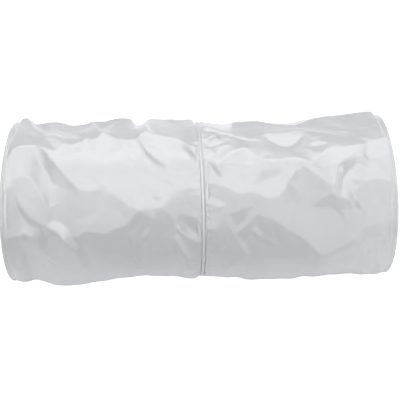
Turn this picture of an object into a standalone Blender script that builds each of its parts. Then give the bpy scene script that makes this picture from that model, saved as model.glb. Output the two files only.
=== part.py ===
"""Cat tunnel: two bays of crumpled satin cloth between three wire hoops, with a rustling film behind the cloth.

Metres, +Z up, +X along the tunnel, and -Y is the side that is seen. The origin is on the floor, under the middle.
A place on the tunnel's wall has two numbers. Its run is -1 at the left hoop, 0 at the centre hoop and 1 at the
right hoop. Its turn is in degrees round the tube: 0 faces the front, 90 is the top and 270 lies on the floor.
"""

import math

import bmesh
import bpy
import numpy as np
from mathutils import Matrix, Vector
from mathutils.geometry import delaunay_2d_cdt

MM = 0.001

# Driving sizes of the tunnel
END_DIAMETER = 250 * MM  # over the hem of an end hoop
CENTRE_DROP = 5.5 * MM  # how much smaller the centre hoop is over its casing
BAY = 286.5 * MM  # from the centre hoop to an end hoop, at mid height
LEFT_LEAN = 2.6  # degrees that the left hoop's top leans in
RIGHT_LEAN = 2.0
CENTRE_YAW = 2.8  # degrees that the centre hoop's near side is turned to the right

# Wire, ferrule and tape
WIRE_RADIUS = 1.0 * MM
WIRE_END_GAP = 0.6 * MM  # between the two ends of a wire, inside its ferrule
FERRULE_PLAY = 0.2 * MM  # between the wire and the ferrule's bore
FERRULE_WALL = 0.4 * MM
FERRULE_LENGTH = 10 * MM
TAPE = 0.6 * MM  # thickness of the hem, casing and seam tapes
FLANGE = 8 * MM  # from a hoop's plane to the edge of its tape
TAPE_SLIT = 0.35 * MM  # where a tape's two lips nearly meet
SEAM_TAPE_WIDTH = 12 * MM
SEAM_SLIT = 0.4 * MM  # between the two edges of a panel
FIT = 0.3 * MM  # clearance between neighbouring pieces

# Cloth and film
CLOTH = 0.8 * MM
FILM = 0.5 * MM

# Facets: the tunnel is a prism that stands on one of its flats
SIDES = 36
BEAD_SIDES = 8
STEP = 360 / SIDES
FLOOR_TURN = 270
SEAM_TURN = 230
FERRULE_TURN = 210

# Pattern of the cloth
PATTERN_SPACING = 25 * MM
CALM_WIDTH = 16 * MM  # over which the folds rise from a hoop
SEAM_CALM = 16  # degrees over which they rise from the lengthwise seam
CREST_ROUND = 1.0 * MM

# What fits round the wire, from the inside out, and how far the wall lies from the wire's circle
CENTRE_DIAMETER = END_DIAMETER - CENTRE_DROP
FERRULE_BORE = WIRE_RADIUS + FERRULE_PLAY
FERRULE_RADIUS = FERRULE_BORE + FERRULE_WALL
CASING_BORE = FERRULE_RADIUS + FIT
BEAD_RADIUS = CASING_BORE + TAPE
COVER_RISE = TAPE / 2 + FIT + CLOTH
FILM_DROP = CLOTH + FIT + TAPE + FIT

# Folds of the cloth: name, (run, turn) points of the crest, height, and the widths above and below it in mm
FOLDS = [
    ("bright_edge", [(-.58, 21), (-.51, 19), (-.46, 19), (-.41, 12), (-.35, 7), (-.31, 3), (-.21, 7), (-.17, 11),
                     (-.13, 18), (-.04, 19)], 4.8, 40, 20),
    ("left_lip", [(-.87, 53), (-.77, 42), (-.69, 33), (-.63, 23), (-.60, 13), (-.58, 6)], 4.6, 34, 9),
    ("left_lobe", [(-.87, 29), (-.82, 18), (-.79, 8), (-.77, -1), (-.73, -8), (-.68, -12)], 3.2, 16, 14),
    ("left_low_crest", [(-.75, -6), (-.66, -14), (-.62, -24), (-.54, -32), (-.45, -40)], 3.6, 24, 13),
    ("left_crease", [(-.94, 21), (-.93, 15), (-.91, 7), (-.87, -2), (-.82, -7), (-.81, -18)], -3.4, 9, 8),
    ("left_foot", [(-.96, -11), (-.91, -13), (-.86, -20), (-.82, -29), (-.76, -44)], 3.0, 12, 14),
    ("shade_edge", [(-.61, -21), (-.56, -13), (-.49, -9), (-.41, -7), (-.36, -1), (-.31, 4)], 3.2, 22, 24),
    ("left_shoulder", [(-.97, 46), (-.91, 50), (-.86, 52), (-.79, 51), (-.73, 49), (-.71, 54), (-.64, 57), (-.61, 62),
                       (-.55, 63), (-.50, 71), (-.45, 64), (-.33, 61)], 3.4, 26, 22),
    ("inner_shoulder", [(-.33, 79), (-.26, 71), (-.20, 65), (-.11, 60), (-.06, 51), (-.02, 48)], 3.0, 24, 15),
    ("seam_hollow", [(-.15, 4), (-.10, 0), (-.05, -5)], -2.8, 8, 8),
    ("seam_ridge", [(-.20, 7), (-.16, 1), (-.11, -6), (-.06, -11), (-.02, -16)], 2.2, 11, 12),
    ("right_ridge", [(.19, 53), (.25, 47), (.30, 40), (.34, 37), (.40, 37), (.46, 39), (.50, 37), (.53, 32), (.57, 29),
                     (.64, 22), (.70, 13), (.77, 6)], 6.0, 40, 22),
    ("apex_rib", [(.39, 11), (.43, 18), (.46, 25), (.51, 35)], 3.2, 26, 12),
    ("right_hollow", [(.56, 4), (.62, 8), (.67, 9), (.73, 6), (.77, 4), (.82, 4)], -4.0, 12, 11),
    ("right_low_crest", [(.25, 7), (.29, 5), (.34, 4), (.38, -5), (.46, -12), (.54, -20), (.60, -30)], 4.6, 36, 20),
    ("right_foot", [(.60, -31), (.67, -28), (.74, -22), (.82, -16), (.89, -11), (.97, -2)], 3.4, 26, 12),
    ("right_foot_hollow", [(.61, -35), (.70, -29), (.78, -23), (.88, -18)], -2.2, 8, 18),
    ("bright_wing", [(.03, 24), (.08, 22), (.14, 18), (.19, 15), (.23, 15), (.29, 13), (.33, 10), (.39, 11)],
     3.4, 26, 13),
    ("cross_rib", [(.13, 2), (.15, -5), (.18, -14), (.22, -23), (.26, -32)], 2.2, 8, 7),
    ("right_shoulder", [(.59, 33), (.62, 40), (.67, 45), (.72, 47), (.79, 46), (.85, 47), (.93, 50)], 3.2, 24, 24),
    ("right_mid_edge", [(.77, 16), (.82, 17), (.87, 21), (.91, 23), (.97, 21)], 2.6, 18, 14),
    ("far_left_top", [(-.93, 128), (-.82, 140), (-.70, 152), (-.58, 158), (-.46, 150)], 4.6, 30, 18),
    ("far_left_slant", [(-.62, 196), (-.50, 184), (-.40, 170), (-.30, 160), (-.16, 156)], 4.2, 26, 16),
    ("far_left_hollow", [(-.90, 176), (-.80, 188), (-.70, 200), (-.60, 210)], -3.2, 12, 14),
    ("far_inner_top", [(-.44, 152), (-.34, 136), (-.24, 124), (-.10, 118)], 3.4, 24, 18),
    ("far_right_slant", [(.10, 162), (.22, 170), (.34, 182), (.44, 194), (.52, 204)], 4.6, 34, 18),
    ("far_right_top", [(.30, 128), (.40, 138), (.52, 142), (.64, 136), (.76, 124)], 4.4, 30, 20),
    ("far_right_low", [(.52, 142), (.56, 156), (.62, 170), (.72, 180), (.86, 184)], 3.8, 24, 14),
    ("far_right_hollow", [(.60, 200), (.70, 192), (.82, 196), (.92, 206)], -3.0, 12, 12),
]

# Broad swells and hollows: run, turn, height, and the half widths along and round, in millimetres and degrees
SWELLS = [
    (-.69, 92, -7, 26, 22), (-.52, 95, 2, 20, 20), (-.34, 95, -5, 16, 20), (-.16, 95, 2.5, 22, 22),
    (.17, 92, -4, 45, 22), (.46, 92, -10, 36, 22), (.84, 95, 3.5, 40, 25),
    (-.70, 285, 6, 48, 20), (-.31, 285, -4.5, 26, 20), (.37, 282, 4.5, 80, 22), (.84, 285, 2, 40, 20),
    (-.91, 40, 1.5, 18, 16), (.52, 8, 1.5, 40, 18), (-.52, -3, 1.5, 30, 10),
    (-.45, 190, -3, 45, 25), (.30, 150, -3, 40, 25), (.75, 170, 2.5, 40, 25), (-.80, 150, 2.5, 35, 22),
    (-.60, 250, 3, 50, 20), (.60, 250, 3, 50, 20),
]


def centre_place():
    """Where the centre hoop stands along X, so that the leaning hoops reach equally far from the origin."""
    left_foot = math.tan(math.radians(LEFT_LEAN))
    right_foot = math.tan(math.radians(RIGHT_LEAN))
    return (left_foot - right_foot) * END_DIAMETER / 4


class Hoop:
    """A hoop's plane, the radius of its wire's circle, and how its plane leans along X with height and depth."""

    def __init__(self, name, side, diameter, lean=0.0, yaw=0.0):
        self.name = name
        self.side = side
        self.x = side * BAY
        self.height = diameter / 2
        self.radius = diameter / 2 - BEAD_RADIUS
        self.slope_up = -side * math.tan(math.radians(lean))
        self.slope_back = -math.tan(math.radians(yaw))

    def shear(self):
        """Carries a ring, modelled square to X at the origin, into the leaning plane of this hoop."""
        leaning = Matrix.Identity(4)
        leaning[0][1] = self.slope_back
        leaning[0][2] = self.slope_up
        return leaning


LEFT = Hoop("left", -1, END_DIAMETER, lean=LEFT_LEAN)
CENTRE = Hoop("centre", 0, CENTRE_DIAMETER, yaw=CENTRE_YAW)
RIGHT = Hoop("right", 1, END_DIAMETER, lean=RIGHT_LEAN)


def clear_scene():
    for item in list(bpy.data.objects):
        bpy.data.objects.remove(item, do_unlink=True)


def make_material(name, colour, roughness, metallic=0.0):
    material = bpy.data.materials.new(name)
    material.use_nodes = True
    shader = material.node_tree.nodes["Principled BSDF"]
    shader.inputs["Base Color"].default_value = (*colour, 1)
    shader.inputs["Roughness"].default_value = roughness
    shader.inputs["Metallic"].default_value = metallic
    return material


def make_empty(name, place, parent=None):
    empty = bpy.data.objects.new(name, None)
    bpy.context.scene.collection.objects.link(empty)
    empty.location = place
    empty.parent = parent
    return empty


def make_object(name, shape, parent, colour, roughness, metallic=0.0, smooth_angle=None):
    """Turns a bmesh into a named object under its parent, with a material of its own."""
    mesh = bpy.data.meshes.new(name)
    shape.to_mesh(mesh)
    shape.free()
    if smooth_angle is not None:
        mesh.shade_smooth()
        mesh.set_sharp_from_angle(angle=math.radians(smooth_angle))
    piece = bpy.data.objects.new(name, mesh)
    bpy.context.scene.collection.objects.link(piece)
    piece.parent = parent
    mesh.materials.append(make_material(name, colour, roughness, metallic))
    return piece


def flat_turn(turn):
    """The middle of the facet nearest to this turn. The facets are counted from the one on the floor."""
    return FLOOR_TURN + round((turn - FLOOR_TURN) / STEP) * STEP


def corner_reach(turn):
    """How much further than a facet's middle the prism reaches at this turn: 1 at a middle, most at a corner."""
    off_middle = turn - flat_turn(turn)
    return 1 / math.cos(math.radians(off_middle))


def around(radius, turn):
    """The point (y, z) of the prism at this turn, from its axis."""
    reach = radius * corner_reach(turn)
    angle = math.radians(turn)
    return -reach * math.cos(angle), reach * math.sin(angle)


def bead_corners(radius):
    """Corners of the wire casing's round, as a polygon whose flats lie at this radius."""
    corner = radius / math.cos(math.pi / BEAD_SIDES)
    angles = [math.pi * (2 * i + 1) / BEAD_SIDES for i in range(BEAD_SIDES)]
    return [(corner * math.cos(a), corner * math.sin(a)) for a in angles]


def hem_profile(inward):
    """A tape folded round the wire, as (along, out) points. Its flange points inward, and its lip stops short."""
    half = TAPE / 2
    lip = -half - TAPE_SLIT
    outer = bead_corners(BEAD_RADIUS)
    inner = bead_corners(CASING_BORE)
    points = [(BEAD_RADIUS, half)]
    points += outer
    points += [(BEAD_RADIUS, lip), (CASING_BORE, lip)]
    points += inner[::-1]
    points += [(CASING_BORE, -half), (FLANGE, -half), (FLANGE, half)]
    return [(inward * u, v) for u, v in points]


def casing_profile():
    """A tape folded over the wire with a flange to each side. Its slit faces the tunnel's axis."""
    half = TAPE / 2
    slit = TAPE_SLIT / 2
    quarter = BEAD_SIDES // 4
    bottom = 3 * quarter
    outer = bead_corners(BEAD_RADIUS)
    inner = bead_corners(CASING_BORE)
    inner_walk = inner[bottom:] + inner[:bottom]
    points = [(slit, -BEAD_RADIUS)] + outer[bottom:]
    points += [(BEAD_RADIUS, -half), (FLANGE, -half), (FLANGE, half), (BEAD_RADIUS, half)]
    points += outer[:2 * quarter]
    points += [(-BEAD_RADIUS, half), (-FLANGE, half), (-FLANGE, -half), (-BEAD_RADIUS, -half)]
    points += outer[2 * quarter:bottom]
    points += [(-slit, -BEAD_RADIUS), (-slit, -CASING_BORE)]
    points += inner_walk[::-1]
    points += [(slit, -CASING_BORE)]
    return points


def closed_loop(shape, points, radius, turn):
    """Puts a closed profile into the shape, standing on the ring of this radius at this turn."""
    corners = []
    for along, out in points:
        y, z = around(radius + out, turn)
        corners.append(shape.verts.new((along, y, z)))
    edges = [shape.edges.new((corners[i - 1], corners[i])) for i in range(len(corners))]
    return corners, edges


def tape_ring(hoop, profile):
    """A profile carried once round the hoop, as a prism with flat sides."""
    shape = bmesh.new()
    corners, edges = closed_loop(shape, profile, hoop.radius, FLOOR_TURN + STEP / 2)
    bmesh.ops.spin(
        shape, geom=corners + edges, cent=(0, 0, 0), axis=(1, 0, 0), dvec=(0, 0, 0),
        angle=2 * math.pi, steps=SIDES, use_merge=True,
    )
    bmesh.ops.recalc_face_normals(shape, faces=shape.faces)
    shape.transform(hoop.shear())
    return shape


def wire_ring(hoop):
    """A wire bent into a prism, open by a small gap in the middle of the facet that the ferrule covers."""
    shape = bmesh.new()
    ferrule_turn = flat_turn(FERRULE_TURN)
    start = ferrule_turn + STEP / 2
    angles = [math.pi * (2 * i + 1) / BEAD_SIDES for i in range(BEAD_SIDES)]
    profile = [(WIRE_RADIUS * math.cos(a), WIRE_RADIUS * math.sin(a)) for a in angles]
    corners, edges = closed_loop(shape, profile, hoop.radius, start)
    first = shape.faces.new(corners)
    swept = bmesh.ops.spin(
        shape, geom=corners + edges, cent=(0, 0, 0), axis=(-1, 0, 0), dvec=(0, 0, 0),
        angle=2 * math.pi - math.radians(STEP), steps=SIDES - 1, use_merge=False,
    )
    last_corners = [item for item in swept["geom_last"] if isinstance(item, bmesh.types.BMVert)]
    last_edges = [item for item in swept["geom_last"] if isinstance(item, bmesh.types.BMEdge)]
    last = bmesh.ops.contextual_create(shape, geom=last_edges)["faces"][0]
    half_flat = hoop.radius * math.tan(math.radians(STEP / 2))
    angle = math.radians(ferrule_turn)
    forward = Vector((0, math.sin(angle), math.cos(angle)))
    for end, direction in ((first, -forward), (last, forward)):
        grown = bmesh.ops.extrude_discrete_faces(shape, faces=[end])["faces"][0]
        bmesh.ops.translate(shape, verts=grown.verts, vec=direction * (half_flat - WIRE_END_GAP / 2))
    bmesh.ops.recalc_face_normals(shape, faces=shape.faces)
    shape.transform(hoop.shear())
    return shape


def ferrule(hoop):
    """A short tube round the wire's two ends, along the facet where they meet."""
    shape = bmesh.new()
    half = FERRULE_LENGTH / 2
    corner = 1 / math.cos(math.pi / BEAD_SIDES)
    section = [(-half, FERRULE_BORE), (half, FERRULE_BORE), (half, FERRULE_RADIUS), (-half, FERRULE_RADIUS)]
    corners = [shape.verts.new((along, 0, out * corner)) for along, out in section]
    edges = [shape.edges.new((corners[i - 1], corners[i])) for i in range(len(corners))]
    bmesh.ops.spin(
        shape, geom=corners + edges, cent=(0, 0, 0), axis=(1, 0, 0), dvec=(0, 0, 0),
        angle=2 * math.pi, steps=BEAD_SIDES, use_merge=True,
    )
    bmesh.ops.recalc_face_normals(shape, faces=shape.faces)
    flat_side = Matrix.Rotation(math.pi / BEAD_SIDES, 4, "X")
    turn = flat_turn(FERRULE_TURN)
    angle = math.radians(turn)
    forward = Vector((0, math.sin(angle), math.cos(angle)))
    outward = Vector((0, -math.cos(angle), math.sin(angle)))
    seat = Matrix((forward, outward, forward.cross(outward))).transposed().to_4x4()
    seat.translation = outward * hoop.radius
    shape.transform(hoop.shear() @ seat @ flat_side)
    return shape


def smooth_step(share):
    share = np.clip(share, 0, 1)
    return share * share * (3 - 2 * share)


def crest_height(x, arc, points, height, above, below):
    """Height of one fold: a tent along a line of points, highest on the line and fading towards its two ends."""
    line = np.array(points)
    steps = np.diff(line, axis=0)
    lengths = np.hypot(steps[:, 0], steps[:, 1])
    starts = np.concatenate([[0], np.cumsum(lengths)])
    nearest = np.full(x.shape, np.inf)
    side = np.zeros(x.shape)
    travelled = np.zeros(x.shape)
    for (px, py), (dx, dy), length, start in zip(line, steps / lengths[:, None], lengths, starts):
        along = np.clip((x - px) * dx + (arc - py) * dy, 0, length)
        off_x = x - px - along * dx
        off_y = arc - py - along * dy
        distance = np.hypot(off_x, off_y)
        closer = distance < nearest
        nearest = np.where(closer, distance, nearest)
        side = np.where(closer, dx * (arc - py) - dy * (x - px), side)
        travelled = np.where(closer, start + along, travelled)
    width = np.where(side > 0, above, below)
    rounded = np.sqrt(nearest ** 2 + CREST_ROUND ** 2) - CREST_ROUND
    flank = np.clip(1 - rounded / width, 0, 1) ** 1.5
    share = travelled / starts[-1]
    return height * flank * smooth_step(share / 0.2) * smooth_step((1 - share) / 0.2)


def nearest_turn(turn, middle):
    """The turn as a number within half a round of the middle."""
    return middle + (turn - middle + 180) % 360 - 180


def fold_height(x, turn):
    """How far the cloth stands out from the straight wall, at places x along the tunnel and turn round it."""
    mid_radius = END_DIAMETER / 2
    total = np.zeros(x.shape)
    for _, points, height, above, below in FOLDS:
        middle = points[0][1]
        line = [(run * BAY, math.radians(t - middle) * mid_radius) for run, t in points]
        arc = np.radians(nearest_turn(turn, middle) - middle) * mid_radius
        total += crest_height(x, arc, line, height * MM, above * MM, below * MM)
    for run, middle, height, half_along, half_round in SWELLS:
        off_x = (x - run * BAY) / (half_along * MM)
        off_turn = (nearest_turn(turn, middle) - middle) / half_round
        total += height * MM * np.exp(-off_x ** 2 - off_turn ** 2)
    from_hoop = np.minimum(np.abs(x), BAY - np.abs(x)) - (FLANGE + FIT)
    seam = flat_turn(SEAM_TURN)
    from_seam = np.abs(nearest_turn(turn, seam) - seam) - STEP / 2
    return total * smooth_step(from_hoop / CALM_WIDTH) * smooth_step(from_seam / SEAM_CALM)


def wall_point(side, x, turn, out):
    """A point at x along one bay's wall, out from the straight line between its two hoops, above the floor."""
    end = LEFT if side < 0 else RIGHT
    share = abs(x) / BAY
    radius = CENTRE.radius + (end.radius - CENTRE.radius) * share + out
    height = CENTRE.height + (end.height - CENTRE.height) * share
    y, up = around(radius, turn)
    lean = up * end.slope_up * share + y * CENTRE.slope_back * (1 - share)
    return Vector((x + lean, y, max(height + up, 0)))


class Pattern:
    """One bay's cloth laid flat: points (x along the tunnel, arc round it) and the fold lines drawn on it."""

    def __init__(self, side):
        self.side = side
        self.start = flat_turn(SEAM_TURN)
        self.radius = END_DIAMETER / 2
        self.points = []
        self.lines = []
        self.edge_rows()
        self.seam_rows()
        self.fold_lines()
        self.filling()

    def arc(self, turn):
        return math.radians(turn - self.start) * self.radius

    def turn(self, arc):
        return self.start + math.degrees(arc / self.radius)

    def add_line(self, points):
        first = len(self.points)
        self.points += points
        self.lines += [(first + i, first + i + 1) for i in range(len(points) - 1)]

    def edge_rows(self):
        """Two rows of points at each hoop, one at the cloth's edge and one past the tape that it is sewn to."""
        self.near = BEAD_RADIUS + FIT
        self.far = FLANGE + FIT
        slit = SEAM_SLIT / 2
        last = 2 * math.pi * self.radius - slit
        arcs = [self.arc(self.start + STEP * (i + 0.5)) for i in range(SIDES)]
        self.reach = (slit, last)
        for x in (self.near, self.far, BAY - self.far, BAY - self.near):
            self.add_line([(self.side * x, a) for a in [slit] + arcs + [last]])

    def seam_rows(self):
        """Points along the corners of the facet that holds the lengthwise seam."""
        count = max(1, round((BAY - 2 * self.far) / PATTERN_SPACING))
        gap = (BAY - 2 * self.far) / count
        for turn in (self.start + STEP / 2, self.start + 360 - STEP / 2):
            for i in range(1, count):
                self.points.append((self.side * (self.far + gap * i), self.arc(turn)))

    def fold_lines(self):
        """The crest of each fold in this bay, and free points where its narrow flanks end."""
        self.free = []
        low = self.far + CREST_ROUND
        for _, crest, _, above, below in FOLDS:
            if crest[0][0] * self.side < 0:
                continue
            line = []
            for run, turn in crest:
                x = self.side * min(max(abs(run) * BAY, low), BAY - low)
                line.append((x, self.arc(nearest_turn(turn, self.start + 180))))
            self.add_line(line)
            for i in range(len(line) - 1):
                a, b = Vector(line[i]), Vector(line[i + 1])
                normal = (b - a).normalized().orthogonal()
                middle = (a + b) / 2
                for width in (above * MM, -below * MM):
                    if abs(width) < 1.2 * PATTERN_SPACING:
                        self.free.append(tuple(middle + normal * width))

    def filling(self):
        """Evenly spread points between the lines, kept away from points and lines that are there already."""
        rows = round((BAY - 2 * self.far) / (PATTERN_SPACING * 0.87))
        columns = round(self.reach[1] / PATTERN_SPACING)
        row_gap = (BAY - 2 * self.far) / rows
        column_gap = self.reach[1] / columns
        for row in range(1, rows):
            for column in range(columns):
                arc = (column + 0.5 * (row % 2) + 0.25) * column_gap
                self.free.append((self.side * (self.far + row * row_gap), arc))
        for point in self.free:
            if self.has_room(point):
                self.points.append(point)

    def has_room(self, point):
        margin = 0.35 * PATTERN_SPACING
        inside = self.far + margin < abs(point[0]) < BAY - self.far - margin
        round_margin = self.arc(self.start + STEP / 2) + margin
        if not inside or not round_margin < point[1] < self.reach[1] - round_margin:
            return False
        place = np.array(point)
        others = np.array(self.points)
        if np.min(np.hypot(*(others - place).T)) < 0.45 * PATTERN_SPACING:
            return False
        starts = others[[a for a, _ in self.lines]]
        ends = others[[b for _, b in self.lines]]
        run = ends - starts
        share = np.clip(((place - starts) * run).sum(1) / (run ** 2).sum(1), 0, 1)
        nearest = starts + run * share[:, None]
        return np.min(np.hypot(*(nearest - place).T)) > 0.28 * PATTERN_SPACING


def folded_wall(side):
    """The outer face of a bay's cloth: its pattern cut into triangles along the fold lines, then wrapped round."""
    pattern = Pattern(side)
    flat = [Vector(p) for p in pattern.points]
    points, _, faces, _, _, _ = delaunay_2d_cdt(flat, pattern.lines, [], 0, 1e-6)
    x = np.array([p.x for p in points])
    turn = np.array([pattern.turn(p.y) for p in points])
    height = fold_height(x, turn)
    shape = bmesh.new()
    corners = [
        shape.verts.new(wall_point(side, px, t, COVER_RISE + h)) for px, t, h in zip(x, turn, height)
    ]
    for face in faces:
        shape.faces.new([corners[i] for i in face])
    bmesh.ops.recalc_face_normals(shape, faces=shape.faces)
    top = max(shape.faces, key=lambda face: face.calc_center_median().z)
    if top.normal.z < 0:
        bmesh.ops.reverse_faces(shape, faces=shape.faces)
    return shape


def give_wall(piece, thickness):
    """Thickens a sheet towards the tunnel's axis."""
    wall = piece.modifiers.new("wall", "SOLIDIFY")
    wall.thickness = thickness
    wall.offset = -1
    wall.use_rim = True


def make_cover(side, name, parent):
    cover = make_object(name, folded_wall(side), parent, (0.86, 0.87, 0.89), 0.42)
    give_wall(cover, CLOTH)
    return cover


def make_film(side, name, parent):
    """The rustling film: the same folds as the cloth, with room for the tapes between the two."""
    shape = folded_wall(side)
    shape.normal_update()
    for corner in shape.verts:
        corner.co -= corner.normal * FILM_DROP
    film = make_object(name, shape, parent, (0.78, 0.79, 0.80), 0.25)
    give_wall(film, FILM)
    return film


def make_seam_tape(side, name, parent):
    """A flat tape behind the slit where the panel's two edges meet, between the hoops' tapes."""
    shape = bmesh.new()
    bmesh.ops.create_cube(shape, size=2)
    middle = flat_turn(SEAM_TURN)
    near = FLANGE + FIT
    for corner in shape.verts:
        x = side * (BAY / 2 + corner.co.x * (BAY / 2 - near))
        half_turn = math.degrees(math.atan(SEAM_TAPE_WIDTH / 2 / CENTRE.radius))
        out = corner.co.z * TAPE / 2
        corner.co = wall_point(side, x, middle + corner.co.y * half_turn, out)
    bmesh.ops.recalc_face_normals(shape, faces=shape.faces)
    return make_object(name, shape, parent, (0.83, 0.84, 0.86), 0.55)


def make_hoop_set(hoop, parent, tape_name, profile):
    make_object(f"{hoop.name}_hoop", wire_ring(hoop), parent, (0.56, 0.57, 0.58), 0.3, 1.0, smooth_angle=50)
    make_object(f"{hoop.name}_ferrule", ferrule(hoop), parent, (0.70, 0.70, 0.71), 0.35, 1.0, smooth_angle=50)
    make_object(tape_name, tape_ring(hoop, profile), parent, (0.84, 0.85, 0.87), 0.5, smooth_angle=50)


def build_tunnel():
    clear_scene()
    tunnel = make_empty("tunnel", (centre_place(), 0, 0))
    centre = make_empty("centre", (0, 0, CENTRE.height), tunnel)
    make_hoop_set(CENTRE, centre, "centre_casing", casing_profile())
    for hoop in (LEFT, RIGHT):
        end = make_empty(f"{hoop.name}_end", (hoop.x, 0, hoop.height), tunnel)
        make_hoop_set(hoop, end, f"{hoop.name}_hem", hem_profile(-hoop.side))
        make_cover(hoop.side, f"{hoop.name}_cover", tunnel)
        make_film(hoop.side, f"{hoop.name}_film", tunnel)
        make_seam_tape(hoop.side, f"{hoop.name}_seam_tape", tunnel)


build_tunnel()
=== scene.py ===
"""The looks of a cat tunnel: crumpled white satin on three wire hoops, with a film inside and sewn tapes.

Metres, +Z up, +X along the tunnel, and -Y is the side that the camera sees. A place on the wall has a run,
which is -1 at the left hoop, 0 at the centre hoop and 1 at the right hoop, and a turn in degrees round the
tube: 0 faces the front, 90 is the top, 180 the far side and 270 lies on the floor.
"""

import math

import bpy
import numpy as np
from mathutils import Matrix, Vector
from mathutils.geometry import delaunay_2d_cdt


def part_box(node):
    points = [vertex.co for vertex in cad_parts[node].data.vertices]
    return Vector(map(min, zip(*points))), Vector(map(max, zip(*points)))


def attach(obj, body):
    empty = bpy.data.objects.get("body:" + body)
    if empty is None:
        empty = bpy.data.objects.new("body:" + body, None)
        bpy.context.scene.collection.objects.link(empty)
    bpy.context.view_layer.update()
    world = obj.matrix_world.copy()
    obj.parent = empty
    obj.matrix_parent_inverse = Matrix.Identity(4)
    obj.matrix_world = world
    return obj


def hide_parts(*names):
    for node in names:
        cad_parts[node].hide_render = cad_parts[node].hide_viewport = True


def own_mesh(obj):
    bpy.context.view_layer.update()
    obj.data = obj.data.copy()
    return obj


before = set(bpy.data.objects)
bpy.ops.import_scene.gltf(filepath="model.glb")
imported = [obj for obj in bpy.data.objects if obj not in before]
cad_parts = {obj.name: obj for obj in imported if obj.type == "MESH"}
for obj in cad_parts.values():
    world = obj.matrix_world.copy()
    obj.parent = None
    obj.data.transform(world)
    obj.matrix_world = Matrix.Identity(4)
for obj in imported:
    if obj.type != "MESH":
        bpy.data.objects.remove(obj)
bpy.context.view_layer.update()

MM = 0.001

# Sizes that the solids share
LEFT_LEAN = 2.6  # degrees that the left hoop's top leans in
RIGHT_LEAN = 2.0
CENTRE_YAW = 2.8  # degrees that the centre hoop's near side is turned to the right
WIRE_RADIUS = 1.0 * MM
FERRULE_BORE = 1.2 * MM
FERRULE_RADIUS = 1.6 * MM
FERRULE_LENGTH = 10 * MM
FERRULE_TURN = 210
WIRE_END_GAP = 0.6 * MM
CASING_BORE = 1.9 * MM
BEAD_RADIUS = 2.5 * MM
TAPE = 0.6 * MM
FLANGE = 8 * MM
FIT = 0.3 * MM
COVER_RISE = 1.4 * MM
SEAM_TURN = 230
SEAM_SLIT = 0.4 * MM
SEAM_TAPE_WIDTH = 12 * MM

# Cloth, film and thread
CLOTH = 0.35 * MM
FILM = 0.15 * MM
FILM_DROP = 2.0 * MM
THREAD_RADIUS = 0.22 * MM
STITCH = 3.2 * MM
STITCH_GAP = 1.0 * MM
CREST_ROUND = 0.5 * MM
FACET_STEPS = 3  # finer points to each point of the cloth, where the facets are laid out
STEEPEST = 38  # degrees between a facet and the wall
ALONG_WEIGHT = 0.15  # of a miss in slope along the tube, against one round it
FACET_ROUNDS = 30  # in which each facet settles flat
RELIEF_REACH = 0.08  # metres over which a tilted facet still lifts the cloth beside it
LARGE_CREASES = (20 * MM, 0.45 * MM)  # spacing of chance creases, and how uneven they leave the cloth
SMALL_CREASES = (8 * MM, 0.09 * MM)
SHORT_CREASES = 230  # short chance creases in each bay
HEM_RIPPLE = 0.5 * MM
CASING_RIPPLE = 1.1 * MM
FLANK_CURVE = 1.15  # 1 is a straight flank, and more makes its foot softer
EDGE = 3.2 * MM  # where the cloth leaves a hoop's tape, from the hoop's plane
LAP_RADIUS = 3.03 * MM  # of the cloth's outer face where it climbs onto a tape
LAP_FOOT = 27  # degrees up that round where the climb starts
LAP_ROWS = 6
PANEL_ROWS = 119  # points along and round a bay's cloth
PANEL_COLUMNS = 337

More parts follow.
